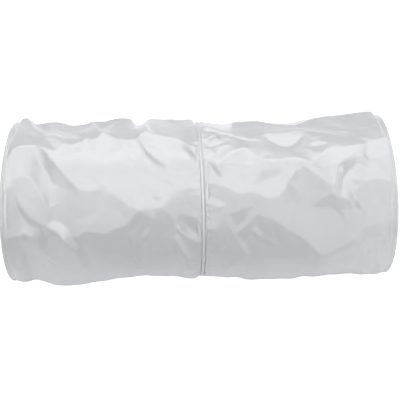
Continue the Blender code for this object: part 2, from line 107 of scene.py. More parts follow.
# Flat facets of the crumpled cloth on the near side: name, degrees that each faces up, and its corners as
# pixels of the photograph, read one by one. A later facet covers the ones before it.
SEEN_FACETS = [
    ("left_lit_low", 27, [(52, 170), (80, 174), (130, 172), (201, 170), (201, 183), (195, 186),
         (192, 190), (186, 187), (177, 189), (171, 192), (167, 198), (161, 204), (157, 208), (148, 210),
         (142, 209), (136, 211), (130, 208), (124, 205), (118, 201), (113, 197), (110, 192), (106, 190),
         (101, 187), (96, 191), (90, 192), (84, 191), (79, 190), (74, 188), (66, 179), (60, 176)]),
    ("left_lit_high", 40, [(50, 156), (56, 153), (58, 148), (56, 142), (60, 144), (66, 146), (71, 145),
         (76, 142), (80, 139), (83, 136), (88, 139), (96, 137), (101, 130), (105, 131), (111, 137),
         (122, 138), (131, 137), (145, 133), (160, 135), (176, 138), (184, 144), (192, 149), (201, 150),
         (201, 153), (176, 148), (150, 146), (110, 144), (80, 150), (62, 156)]),
    ("left_end_lit", 28, [(2, 166), (8, 157), (16, 151), (30, 149), (33, 156), (36, 163), (41, 170),
         (44, 177), (47, 184), (46, 192), (48, 200), (49, 208), (46, 211), (42, 204), (38, 196),
         (34, 187), (30, 181), (24, 178), (16, 178), (10, 181), (2, 184)]),
    ("right_lit_low", 29, [(204, 165), (217, 172), (222, 164), (296, 168), (293, 174), (289, 182),
         (285, 188), (281, 193), (275, 197), (268, 199), (260, 197), (256, 192), (250, 190), (246, 192),
         (240, 194), (233, 193), (228, 190), (220, 186), (212, 183), (204, 181)]),
    ("right_lit_high", 42, [(204, 150), (214, 156), (218, 164), (222, 157), (227, 151), (233, 149),
         (238, 146), (245, 146), (249, 150), (251, 154), (256, 157), (260, 160), (266, 161), (280, 161),
         (288, 159), (294, 159), (298, 164), (296, 168), (222, 162), (204, 160)]),
    ("seam_lit_high", 44, [(204, 136), (214, 134), (218, 138), (216, 146), (214, 156), (210, 160),
         (204, 158)]),
    ("shoulder_lit_high", 46, [(311, 168), (316, 162), (320, 157), (325, 151), (332, 148), (352, 147),
         (376, 142), (391, 138), (396, 158), (316, 172)]),
    ("shoulder_lit_low", 31, [(314, 170), (396, 158), (398, 183), (390, 182), (380, 180), (372, 181),
         (366, 184), (350, 181), (340, 190), (334, 186), (322, 179)]),
    ("left_top_band", 64, [(15, 124), (30, 122), (60, 124), (85, 124), (94, 120), (113, 119), (132, 122),
         (135, 138), (122, 138), (111, 137), (105, 131), (101, 130), (96, 137), (88, 139), (83, 136),
         (80, 139), (76, 142), (71, 145), (66, 146), (60, 144), (55, 138), (48, 137), (41, 140),
         (46, 142), (51, 146), (53, 151), (47, 152), (40, 151), (34, 149), (24, 149), (15, 151), (9, 155),
         (8, 140)]),
    ("seam_top_band", 70, [(145, 122), (201, 120), (201, 147), (192, 149), (184, 144), (176, 138),
         (160, 135), (150, 130)]),
    ("lip_upper", 2, [(33, 150), (38, 151), (44, 155), (50, 161), (54, 166), (47, 173), (42, 170),
         (38, 164), (34, 158)]),
    ("lip_lower", -6, [(47, 173), (54, 166), (60, 173), (66, 180), (72, 187), (66, 190), (60, 187),
         (54, 184), (49, 181)]),
    ("lip_foot", -14, [(58, 174), (64, 178), (70, 184), (76, 191), (80, 198), (84, 206), (81, 208),
         (76, 201), (71, 194), (65, 187), (58, 181)]),
    ("lobe", 4, [(11, 182), (16, 178), (24, 178), (30, 181), (34, 187), (38, 196), (42, 204), (46, 212),
         (49, 216), (48, 224), (43, 229), (37, 227), (31, 223), (26, 218), (21, 212), (17, 205),
         (14, 198), (9, 192)]),
    ("lobe_shade", -6, [(11, 194), (17, 195), (18, 205), (20, 211), (15, 208), (11, 201)]),
    ("lobe_left", 5, [(3, 187), (9, 190), (12, 198), (15, 207), (17, 214), (14, 216), (4, 214)]),
    ("middle_face", 10, [(48, 186), (58, 187), (72, 189), (80, 191), (92, 193), (100, 192), (106, 191),
         (112, 196), (117, 201), (126, 206), (133, 210), (129, 219), (124, 226), (116, 229), (109, 232),
         (104, 236), (98, 234), (90, 233), (84, 233), (80, 236), (74, 240), (66, 234), (58, 228),
         (50, 226), (48, 215), (47, 200)]),
    ("bright_corner", 9, [(93, 188), (99, 184), (104, 188), (100, 193), (95, 192)]),
    ("seam_mid_face", 8, [(158, 208), (166, 199), (170, 192), (177, 189), (186, 188), (192, 190),
         (201, 184), (201, 222), (194, 219), (186, 216), (178, 213), (172, 216), (167, 215), (162, 210)]),
    ("dark_left", -13, [(84, 240), (88, 234), (92, 233), (98, 234), (104, 237), (110, 232), (118, 229),
         (125, 227), (130, 219), (134, 213), (138, 212), (143, 215), (149, 217), (151, 214), (156, 209),
         (161, 210), (166, 214), (170, 219), (173, 225), (173, 236), (172, 250), (168, 256), (140, 258),
         (112, 256), (98, 254), (86, 251)]),
    ("dark_left_low", -26, [(92, 256), (112, 257), (140, 259), (168, 257), (166, 265), (150, 268),
         (125, 267), (110, 264), (100, 260)]),
    ("seam_pocket", -18, [(180, 218), (187, 218), (194, 222), (202, 228), (202, 239), (194, 234),
         (186, 230), (181, 226)]),
    ("seam_pocket_edge", -4, [(171, 217), (178, 213), (185, 216), (180, 219), (178, 224), (173, 223)]),
    ("seam_streak_left", 34, [(174, 223), (181, 228), (190, 234), (202, 241), (202, 246), (190, 241),
         (180, 235), (174, 230)]),
    ("seam_low_face", -13, [(178, 237), (190, 242), (202, 247), (202, 255), (190, 254), (182, 250)]),
    ("seam_low_dark", -24, [(186, 259), (202, 260), (202, 266), (192, 268), (185, 265)]),
    ("foot_shine", 44, [(48, 224), (57, 226), (64, 230), (70, 236), (75, 243), (80, 251), (74, 251),
         (68, 245), (62, 239), (56, 235), (48, 232)]),
    ("foot_strip", -38, [(41, 229), (49, 231), (56, 235), (60, 239), (56, 240), (51, 240), (46, 247),
         (43, 240)]),
    ("foot_dark_upper", -6, [(34, 229), (40, 229), (43, 237), (43, 248), (38, 246), (35, 238)]),
    ("foot_dark", -6, [(45, 253), (51, 241), (57, 239), (60, 246), (61, 256), (65, 263), (66, 268),
         (60, 268), (54, 264), (49, 262), (44, 259)]),
    ("foot_grey", -38, [(61, 240), (66, 243), (73, 250), (80, 254), (84, 259), (77, 260), (72, 264),
         (68, 264), (64, 256), (61, 248)]),
    ("foot_crease", -38, [(61, 250), (64, 251), (67, 262), (64, 262)]),
    ("toe_dark", -4, [(10, 243), (17, 241), (20, 247), (23, 254), (25, 262), (22, 268), (17, 265),
         (12, 260), (9, 253)]),
    ("toe_light", -38, [(19, 241), (24, 242), (31, 250), (37, 251), (42, 256), (44, 262), (38, 266),
         (30, 264), (26, 258), (23, 250)]),
    ("toe_ridge", -44, [(22, 237), (27, 237), (33, 243), (37, 250), (33, 251), (27, 245)]),
    ("arc_dark", -14, [(42, 260), (48, 263), (54, 267), (60, 271), (53, 273), (46, 269)]),
    ("low_left_light", -36, [(28, 266), (40, 268), (52, 273), (62, 271), (72, 266), (82, 268), (92, 262),
         (102, 264), (114, 269), (108, 275), (84, 278), (56, 279), (36, 276)]),
    ("low_left_dark", -12, [(79, 257), (86, 257), (91, 263), (87, 269), (81, 267)]),
    ("crescent", -30, [(15, 202), (18, 206), (22, 212), (26, 217), (31, 221), (36, 225), (41, 229),
         (36, 232), (30, 230), (24, 225), (19, 219), (15, 212)]),
    ("step_wedge", 11, [(134, 138), (138, 140), (146, 149), (154, 158), (167, 167), (160, 167),
         (151, 161), (142, 150)]),
    ("tuck_wedge", -28, [(181, 148), (188, 150), (197, 158), (202, 161), (196, 162), (188, 156)]),
    ("top_band_right", 64, [(232, 121), (262, 120), (296, 122), (330, 115), (378, 112), (391, 138),
         (376, 142), (352, 147), (332, 148), (325, 151), (320, 157), (311, 168), (304, 166), (298, 163),
         (294, 158), (280, 160), (262, 160), (252, 155), (249, 149), (244, 145), (232, 138)]),
    ("top_patch", 46, [(263, 128), (268, 129), (275, 128), (285, 129), (292, 128), (298, 126), (304, 128),
         (301, 134), (297, 139), (290, 142), (283, 141), (276, 138), (269, 134)]),
    ("seam_grey", 61, [(218, 134), (232, 134), (246, 140), (250, 148), (245, 146), (238, 146), (233, 149),
         (227, 151), (222, 157), (217, 165), (213, 160), (214, 154), (218, 148)]),
    ("seam_wedge", 9, [(204, 160), (211, 160), (215, 165), (219, 172), (220, 179), (215, 175), (211, 168),
         (207, 163)]),
    ("soft_dip", 15, [(262, 168), (270, 165), (278, 165), (285, 167), (281, 174), (272, 177), (264, 179),
         (257, 185), (249, 184), (254, 176)]),
    ("wing_shade", 6, [(204, 182), (212, 184), (220, 187), (228, 191), (233, 194), (240, 195), (247, 193),
         (256, 196), (262, 199), (270, 200), (277, 198), (270, 205), (262, 208), (251, 207), (243, 209),
         (236, 211), (228, 214), (218, 207), (206, 203)]),
    ("apex_left", 2, [(297, 165), (293, 173), (289, 181), (285, 188), (280, 195), (277, 200), (284, 202),
         (292, 199), (297, 192), (299, 180)]),
    ("apex_right", -1, [(299, 165), (306, 169), (312, 173), (322, 179), (333, 186), (338, 192),
         (330, 195), (322, 200), (315, 205), (302, 205), (298, 195)]),
    ("apex_dark", -6, [(305, 173), (314, 176), (322, 180), (332, 187), (330, 194), (318, 190),
         (308, 184)]),
    ("middle_face_right", 8, [(269, 208), (277, 199), (290, 201), (304, 205), (312, 210), (322, 212),
         (335, 214), (350, 215), (365, 213), (380, 206), (398, 201), (398, 213), (388, 218), (379, 223),
         (370, 227), (362, 232), (354, 238), (344, 243), (334, 248), (325, 252), (316, 254), (309, 247),
         (299, 240), (290, 234), (280, 227), (271, 219)]),
    ("hollow_dark", -25, [(310, 208), (316, 205), (321, 201), (326, 197), (332, 195), (337, 197),
         (343, 199), (350, 201), (354, 205), (353, 210), (349, 214), (345, 212), (341, 212), (344, 218),
         (339, 216), (336, 212), (330, 211), (322, 211), (314, 210)]),
    ("hollow_glint", -8, [(342, 202), (345, 203), (350, 214), (346, 213)]),
    ("hollow_tooth", -26, [(355, 200), (361, 205), (365, 212), (361, 214), (356, 209)]),
    ("curl_top", 8, [(341, 167), (345, 162), (350, 160), (357, 157), (363, 158), (367, 161), (371, 167),
         (364, 167), (359, 164), (354, 168), (350, 173), (345, 176), (341, 175)]),
    ("curl_side", -2, [(336, 193), (335, 182), (337, 173), (341, 168), (344, 176), (341, 184),
         (340, 193)]),
    ("curl_line", 6, [(350, 178), (358, 180), (367, 180), (366, 184), (356, 186), (352, 183)]),
    ("curl_shade", 4, [(350, 185), (354, 188), (358, 196), (359, 202), (355, 201), (351, 194)]),
    ("curl_face", 22, [(344, 184), (349, 179), (352, 190), (354, 200), (347, 200), (341, 197)]),
    ("end_mid_face", 5, [(366, 184), (372, 181), (380, 180), (390, 182), (398, 184), (398, 200),
         (380, 205), (366, 212), (362, 205), (359, 198), (358, 190)]),
    ("foot_band", -11, [(316, 255), (325, 252), (334, 248), (344, 243), (354, 238), (362, 232),
         (370, 228), (379, 224), (388, 220), (397, 220), (396, 232), (386, 236), (376, 238), (367, 241),
         (358, 245), (350, 248), (340, 250), (328, 254)]),
    ("foot_light", -38, [(318, 257), (330, 255), (345, 250), (361, 246), (360, 253), (345, 260),
         (328, 262)]),
    ("foot_mid", -20, [(362, 246), (372, 243), (374, 256), (370, 266), (362, 262)]),
    ("foot_end", -22, [(374, 242), (384, 239), (392, 238), (389, 258), (380, 266), (375, 262)]),
    ("foot_rim", -6, [(385, 235), (389, 234), (390, 246), (386, 254), (384, 247)]),
    ("dark_right", -11, [(205, 254), (207, 240), (212, 232), (216, 222), (219, 215), (226, 215),
         (234, 213), (242, 210), (250, 207), (258, 209), (265, 211), (269, 217), (273, 224), (280, 229),
         (288, 234), (298, 241), (306, 246), (313, 252), (300, 258), (290, 260), (250, 260), (225, 258)]),
    ("dark_right_low", -27, [(240, 261), (290, 261), (302, 259), (296, 268), (270, 270), (244, 270)]),
    ("seam_light_face", 7, [(206, 213), (212, 212), (218, 216), (216, 225), (213, 233), (208, 231)]),
    ("seam_shade_face", -3, [(204, 205), (212, 207), (219, 209), (218, 215), (211, 212), (204, 211)]),
    ("seam_shine", 45, [(203, 197), (208, 197), (214, 200), (221, 204), (220, 208), (212, 206),
         (205, 203)]),
    ("triangle_left", -13, [(229, 216), (236, 212), (243, 209), (250, 207), (248, 213), (243, 221),
         (236, 228), (232, 228), (230, 222)]),
    ("triangle_ridge_a", 12, [(226, 217), (229, 219), (231, 229), (236, 238), (242, 245), (248, 255),
         (243, 254), (235, 244), (229, 235), (226, 226)]),
    ("triangle_ridge_b", 8, [(250, 208), (255, 214), (249, 222), (243, 229), (237, 234), (231, 234),
         (236, 229), (243, 221), (248, 213)]),
    ("triangle_dark", -20, [(233, 236), (240, 235), (247, 235), (248, 241), (246, 249), (240, 243),
         (236, 239)]),
    ("triangle_strip", -2, [(248, 236), (252, 235), (252, 256), (248, 256)]),
    ("right_blue_face", -1, [(252, 208), (259, 208), (266, 211), (269, 217), (270, 221), (262, 218),
         (255, 214)]),
    ("dark_right_b", 14, [(252, 230), (257, 230), (259, 238), (254, 239)]),
    ("dark_right_a", -17, [(268, 222), (275, 226), (282, 231), (286, 238), (284, 247), (277, 243),
         (272, 236)]),
    ("dark_right_f", -16, [(257, 222), (264, 226), (264, 243), (259, 242), (258, 230)]),
    ("low_dark_band", -21, [(207, 243), (214, 246), (221, 251), (228, 254), (236, 258), (231, 262),
         (226, 266), (221, 263), (220, 257), (213, 253), (207, 250)]),
    ("dark_right_c", -34, [(208, 254), (214, 255), (220, 261), (220, 267), (208, 268)]),
    ("dark_right_e", -3, [(286, 238), (296, 243), (306, 252), (300, 256), (290, 248)]),
    ("top_streak_a", 92, [(27, 122), (34, 123), (41, 128), (46, 132), (38, 131), (31, 127)]),
    ("top_streak_b", 92, [(90, 122), (97, 124), (105, 130), (102, 132), (95, 128)]),
    ("lit_dent", 6, [(147, 197), (153, 196), (161, 198), (154, 201)]),
    ("dark_rim_a", -19, [(126, 229), (131, 220), (135, 213), (141, 214), (139, 224), (132, 231)]),
    ("dark_rim_b", -19, [(142, 217), (148, 218), (147, 230), (142, 232)]),
    ("dark_rib_a", -2, [(129, 231), (133, 233), (138, 244), (140, 252), (139, 262), (135, 262),
         (132, 250), (129, 240)]),
    ("dark_rib_b", -4, [(143, 233), (149, 229), (150, 256), (142, 257)]),
    ("dark_deep_b", -18, [(151, 222), (160, 222), (164, 232), (162, 250), (151, 252)]),
    ("dark_rib_c", -2, [(166, 239), (170, 240), (170, 256), (165, 258)]),
    ("dark_rib_d", 2, [(173, 236), (177, 237), (182, 247), (190, 255), (202, 257), (202, 261), (188, 259),
         (178, 251)]),
    ("dark_rib_e", -2, [(158, 240), (166, 229), (170, 230), (163, 241)]),
    ("seam_edge_shade", 2, [(166, 214), (172, 206), (180, 208), (178, 214), (172, 218)]),
    ("rim_mid_face", 7, [(3, 206), (13, 205), (16, 214), (21, 221), (27, 228), (34, 233), (31, 237),
         (24, 236), (16, 240), (8, 241), (4, 230)]),
    ("low_green", 5, [(23, 229), (33, 232), (34, 240), (27, 237)]),
    ("seam_line_right", 45, [(203, 126), (216, 128), (230, 130), (246, 134), (262, 136), (246, 136),
         (229, 132), (214, 130), (203, 129)]),
    ("seam_shade_high", 70, [(203, 144), (208, 143), (213, 147), (205, 149)]),
    ("hollow_light", -10, [(351, 205), (355, 205), (357, 213), (352, 214)]),
    ("ridge_shine", 30, [(297, 158), (305, 163), (312, 168), (320, 174), (332, 184), (338, 191),
         (333, 188), (322, 180), (312, 174), (298, 164)]),
    ("finger", 44, [(42, 139), (48, 137), (54, 137), (59, 142), (58, 149), (54, 152), (51, 147),
         (47, 142)]),
    ("mid_dent_a", 1, [(118, 214), (124, 209), (127, 212), (122, 220)]),
    ("mid_dent_b", 15, [(60, 190), (70, 191), (76, 197), (66, 199)]),
    ("mid_dent_c", 4, [(74, 214), (88, 208), (98, 212), (86, 218)]),
    ("mid_dent_d", 12, [(88, 218), (100, 214), (108, 222), (98, 228)]),
    ("mid_dent_e", 0, [(280, 204), (292, 203), (296, 212), (284, 214)]),
    ("mid_dent_f", 13, [(300, 214), (316, 216), (322, 228), (304, 226)]),
    ("mid_dent_g", 0, [(340, 218), (346, 217), (350, 224), (347, 230), (342, 227)]),
    ("seam_face_a", 2, [(168, 198), (178, 196), (182, 206), (172, 210)]),
    ("seam_face_b", 12, [(184, 194), (198, 190), (200, 200), (188, 204)]),
    ("wing_a", 10, [(206, 188), (216, 190), (218, 197), (208, 197)]),
    ("wing_b", -1, [(224, 196), (238, 198), (236, 206), (226, 204)]),
]

# Folds: name, points of the crest, height, and widths above and below it in mm. The far side's points are
# (run, turn), and those of SEEN_FOLDS are pixels of the photograph, read one by one.
FAR_FOLDS = [
    ("far_left_top", [(-0.93, 128), (-0.82, 140), (-0.7, 152), (-0.58, 158), (-0.46, 150)], 4.6, 30, 18),
    ("far_left_slant", [(-0.62, 196), (-0.5, 184), (-0.4, 170), (-0.3, 160), (-0.16, 156)], 4.2, 26, 16),
    ("far_left_hollow", [(-0.9, 176), (-0.8, 188), (-0.7, 200), (-0.6, 210)], -3.2, 12, 14),
    ("far_inner_top", [(-0.44, 152), (-0.34, 136), (-0.24, 124), (-0.1, 118)], 3.4, 24, 18),
    ("far_right_slant", [(0.1, 162), (0.22, 170), (0.34, 182), (0.44, 194), (0.52, 204)], 4.6, 34, 18),
    ("far_right_top", [(0.3, 128), (0.4, 138), (0.52, 142), (0.64, 136), (0.76, 124)], 4.4, 30, 20),
    ("far_right_low", [(0.52, 142), (0.56, 156), (0.62, 170), (0.72, 180), (0.86, 184)], 3.8, 24, 14),
    ("far_right_hollow", [(0.6, 200), (0.7, 192), (0.82, 196), (0.92, 206)], -3, 12, 12),
]
SEEN_FOLDS = [
    ("thin_fold", [(117, 139), (123, 150), (131, 162)], 0.6, 5, 4),
    ("thin_fold_high", [(97, 137), (101, 143), (106, 148)], 0.5, 5, 4),
    ("low_rib_left", [(127, 232), (132, 243), (136, 252), (137, 270)], 1.2, 6, 5),
    ("low_rib_slant", [(152, 214), (149, 228), (143, 240), (136, 247)], 1.2, 6, 5),
    ("low_rib_short", [(169, 236), (167, 248), (162, 262)], 1, 5, 5),
    ("low_rib_seam", [(172, 238), (178, 250), (186, 257), (199, 259)], 1.5, 7, 6),
    ("apex_spine", [(299, 166), (300, 178), (300, 192)], 1.3, 7, 7),
    ("right_toe", [(368, 250), (364, 258), (368, 268)], -1.6, 7, 7),
    ("low_rib_right", [(246, 236), (252, 234), (258, 240), (270, 247), (278, 250)], 1.4, 6, 7),
    ("top_thin", [(296, 126), (312, 125), (330, 128), (346, 131), (356, 136)], 1.2, 7, 6),
    ("seam_pucker_high", [(203, 140), (208, 137), (216, 133)], 1.6, 5, 5),
    ("seam_pucker_mid", [(203, 148), (210, 147), (219, 144), (230, 141)], 1.2, 5, 5),
    ("seam_pucker_low", [(203, 158), (210, 163), (216, 172)], 1.2, 5, 5),
]
FAR_RIBS = [
    ("far_rib_a", [(-0.3, 206), (-0.22, 192), (-0.12, 182)], 2.4, 10, 12),
    ("far_rib_b", [(-0.88, 212), (-0.76, 218), (-0.62, 214), (-0.5, 204)], 2.4, 16, 12),
    ("far_rib_c", [(-0.16, 148), (-0.1, 158), (-0.05, 170)], -2.2, 9, 9),
    ("far_rib_d", [(0.08, 132), (0.16, 124), (0.26, 118)], 2.2, 12, 12),
    ("far_rib_e", [(0.14, 208), (0.26, 212), (0.38, 208)], 2.4, 14, 12),
    ("far_rib_f", [(0.84, 150), (0.9, 162), (0.94, 176)], -2, 8, 9),
    ("far_rib_g", [(-0.72, 128), (-0.64, 140), (-0.6, 152)], 1.8, 9, 9),
    ("far_rib_h", [(0.4, 196), (0.46, 180), (0.48, 166)], 1.6, 8, 8),
]
BROAD_RISE = 1.35  # what the far folds' heights are raised by
NARROW_RISE = 1.3  # and the others'

# Broad swells and hollows: run, turn, height in mm, and the half widths along in mm and round in degrees
SWELLS = [
    (-.69, 92, -10, 34, 24), (-.50, 95, -3.5, 20, 20), (-.34, 95, -5, 16, 20), (-.16, 95, -1.5, 22, 22),
    (-.88, 92, -6, 20, 24),
    (.17, 92, -4, 45, 22), (.46, 92, -10, 36, 22), (.78, 95, -5, 40, 25),
    (-.70, 285, 6, 48, 20), (-.31, 285, -4.5, 26, 20), (.37, 282, 4.5, 80, 22), (.84, 285, 2, 40, 20),
    (-.91, 40, 1.5, 18, 16), (.52, 8, 1.5, 40, 18), (-.52, -3, 1.5, 30, 10),
    (-.45, 190, -3, 45, 25), (.30, 150, -3, 40, 25), (.75, 170, 2.5, 40, 25), (-.80, 150, 2.5, 35, 22),
    (-.60, 250, 3, 50, 20), (.60, 250, 3, 50, 20),
]

# Where the right panel's edge is drawn back from the centre seam: turn, half width in degrees, and depth in
# mm
POCKETS = [
    (22, 2.2, 1.3), (8.5, 2.0, 1.8), (3.5, 1.5, 1.2), (-9, 2.2, 2.2), (-15, 4.5, 2.0), (-24, 3.0, 1.4),
    (-37, 2.4, 1.6), (-45, 2.6, 1.2), (-55, 3.0, 1.8),
]

# The camera, in the photograph's frame of 400 by 400 pixels
IMAGE_SIDE = 400
FOCAL_PIXELS = 823
AXIS_PIXEL = (193.3, 199.0)  # where the tunnel's axis is met squarely
CAMERA_DISTANCE = 1.31
CAMERA_ASIDE = -8.4 * MM
CAMERA_ELEVATION = 12
CAMERA_ROLL = 1.25
TRACED_RADIUS = 123.9 * MM  # the cloth's, on which a pixel read off the photograph is placed

# The set: softboxes with their angle round from the front, height in degrees, power in watts, width and
# height, and cards on the floor with their corners, height above it, shade and glow
LAMP_DISTANCE = 2.2
LAMPS = [
    ("front", -8, 35, 36, 3.6, 2.2),
    ("overhead", 0, 90, 26, 2.6, 1.6),
    ("right_strip", 90, 10, 11, 1.7, 1.0),
    ("back", 180, 22, 5, 1.7, 1.0),
]
CARDS = [
    ("white_card", [(-1.1, -0.16), (1.1, -0.16), (-1.1, -1.7), (1.1, -1.7)], 1 * MM, 0.8, 0.42),
    ("dark_card", [(-0.20, -0.15), (0.20, -0.15), (-0.18, -0.37), (0.16, -0.37)], 2 * MM, 0.4, 0.0),
    ("near_card", [(-0.17, -0.115), (0.19, -0.115), (-0.20, -0.15), (0.20, -0.15)], 2 * MM, 0.72, 0.0),
    ("left_card", [(-0.48, -0.162), (-0.20, -0.162), (-0.48, -0.285), (-0.19, -0.285)], 2 * MM, 0.1, 0.0),
    ("hollow_card", [(0.20, -0.165), (0.31, -0.165), (0.20, -0.25), (0.31, -0.25)], 2 * MM, 0.12, 0.0),
]


class Hoop:
    """A hoop's place, read from its solids, and how its plane leans along X with height and depth."""

    def __init__(self, name, tape_node, side, lean=0.0, yaw=0.0):
        wire_low, wire_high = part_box(f"{name}_hoop")
        low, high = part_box(tape_node)
        self.name = name
        self.side = side
        self.x = (wire_low.x + wire_high.x) / 2
        self.height = (high.z - low.z) / 2
        self.radius = self.height - BEAD_RADIUS
        self.slope_up = -side * math.tan(math.radians(lean))
        self.slope_back = -math.tan(math.radians(yaw))

    def place(self, along, out, turn):
        """Points beside the hoop: along the tunnel from its plane, out from its wire's circle, at a
        turn."""
        angle = np.radians(turn)
        reach = self.radius + out
        y = -reach * np.cos(angle)
        up = reach * np.sin(angle)
        x = self.x + along + up * self.slope_up + y * self.slope_back
        return np.stack([x, y, self.height + up], axis=-1)


LEFT = Hoop("left", "left_hem", -1, lean=LEFT_LEAN)
CENTRE = Hoop("centre", "centre_casing", 0, yaw=CENTRE_YAW)
RIGHT = Hoop("right", "right_hem", 1, lean=RIGHT_LEAN)
BAY = RIGHT.x - CENTRE.x
MID_RADIUS = RIGHT.height


def on_wall(pixel):
    """A pixel of the photograph as (run, turn) on the wall, to a hundredth and a degree. The picture is
    first turned level, and then the line of sight is met with the wall."""
    middle = IMAGE_SIDE / 2
    right, down = pixel[0] - middle, pixel[1] - middle
    roll = math.radians(CAMERA_ROLL)
    x = middle + right * math.cos(roll) - down * math.sin(roll)
    y = middle + right * math.sin(roll) + down * math.cos(roll)
    slope = (AXIS_PIXEL[1] - y) / FOCAL_PIXELS
    sine = slope * CAMERA_DISTANCE / (TRACED_RADIUS * math.hypot(1, slope))
    turn = math.asin(max(-1.0, min(1.0, sine))) - math.atan(slope)
    depth = CAMERA_DISTANCE - TRACED_RADIUS * math.cos(turn)
    along = CAMERA_ASIDE + (x - AXIS_PIXEL[0]) * depth / FOCAL_PIXELS
    return round(along / BAY, 2), round(math.degrees(turn) + CAMERA_ELEVATION)


def raised(folds, factor):
    """The folds with their heights raised, to a tenth of a millimetre."""
    return [(name, crest, round(height * factor, 1), *widths) for name, crest, height, *widths in folds]


FACETS = [(name, faces, [on_wall(pixel) for pixel in pixels]) for name, faces, pixels in SEEN_FACETS]
NEAR_FOLDS = [(name, [on_wall(pixel) for pixel in pixels], *sizes) for name, pixels, *sizes in SEEN_FOLDS]
FOLDS = raised(FAR_FOLDS, BROAD_RISE) + raised(NEAR_FOLDS + FAR_RIBS, NARROW_RISE)


def smooth_step(share):
    share = np.clip(share, 0, 1)
    return share * share * (3 - 2 * share)


def nearest_turn(turn, middle):
    """The turn as a number within half a round of the middle."""
    return middle + (turn - middle + 180) % 360 - 180


def crest_height(x, arc, points, height, above, below, fade=0.2):
    """A tent along a line of points: highest on the line, falling to nothing at its widths above and below,
    and fading towards its two ends."""
    line = np.array(points)
    steps = np.diff(line, axis=0)
    lengths = np.hypot(steps[:, 0], steps[:, 1])
    starts = np.concatenate([[0], np.cumsum(lengths)])
    nearest = np.full(x.shape, np.inf)
    side = np.zeros(x.shape)
    travelled = np.zeros(x.shape)
    for (px, py), (dx, dy), length, start in zip(line, steps / lengths[:, None], lengths, starts):
        along = np.clip((x - px) * dx + (arc - py) * dy, 0, length)
        distance = np.hypot(x - px - along * dx, arc - py - along * dy)
        closer = distance < nearest
        nearest = np.where(closer, distance, nearest)
        side = np.where(closer, dx * (arc - py) - dy * (x - px), side)
        travelled = np.where(closer, start + along, travelled)
    width = np.where(side > 0, above, below)
    rounded = np.sqrt(nearest ** 2 + CREST_ROUND ** 2) - CREST_ROUND
    flank = np.clip(1 - rounded / width, 0, 1) ** FLANK_CURVE
    share = travelled / starts[-1]
    return height * flank * smooth_step(share / fade) * smooth_step((1 - share) / fade)


def add_crest(total, x, arc, line, height, above, below, fade=0.2):
    """Adds one tent to a field of heights, only where it reaches."""
    line = np.array(line)
    reach = max(above, below)
    low = line.min(axis=0) - reach
    high = line.max(axis=0) + reach
    near = (x > low[0]) & (x < high[0]) & (arc > low[1]) & (arc < high[1])
    if near.any():
        total[near] += crest_height(x[near], arc[near], line, height, above, below, fade)


def panel_arc(turn):
    """How far round the laid-out panel a turn lies, in metres from the lengthwise seam."""
    return np.radians((np.asarray(turn) - SEAM_TURN) % 360) * MID_RADIUS


def fold_line(crest):
    """A fold's crest as points (x, arc) on the laid-out panel."""
    return [(run * BAY, float(panel_arc(turn))) for run, turn in crest]


def fold_sum(folds, side, x, arc):
    """The heights of one bay's folds from a list, added up."""
    total = np.zeros(x.shape)
    for _, crest, height, above, below in folds:
        if crest[0][0] * side > 0:
            add_crest(total, x, arc, fold_line(crest), height * MM, above * MM, below * MM)
    return total


def swell_sum(x, arc):
    """Broad bell-shaped swells, added up."""
    total = np.zeros(x.shape)
    for run, middle, height, half_along, half_round in SWELLS:
        off_x = (x - run * BAY) / (half_along * MM)
        off_arc = (arc - panel_arc(middle)) / (math.radians(half_round) * MID_RADIUS)
        total += height * MM * np.exp(-off_x ** 2 - off_arc ** 2)
    return total


def facet_mask(x, turn, corners):
    """Which places lie inside a polygon of (run, turn) corners: those with an odd number of its edges to
    one side."""
    inside = np.zeros(x.shape, bool)
    corner = np.array(corners) * (BAY, 1)
    for (ax, at), (bx, bt) in zip(corner, np.roll(corner, -1, axis=0)):
        rise = bt - at if bt != at else 1e-9
        inside ^= ((at > turn) != (bt > turn)) & (x < ax + (turn - at) / rise * (bx - ax))
    return inside


def sine_sums(values):
    """Each column's values times a sine wave that is nought at both ends, added up. Each row of the outcome
    has a wave with one more half turn. A Fourier transform of the column and its mirror image with the
    other sign gives the same sums."""
    count, columns = values.shape
    blank = np.zeros((1, columns))
    mirrored = np.concatenate([blank, values, blank, -values[::-1]])
    return -np.fft.rfft(mirrored, axis=0)[1:count + 1].imag / 2


def sine_waves(values):
    """The same sums along the grid and round it."""
    return sine_sums(sine_sums(values).T).T


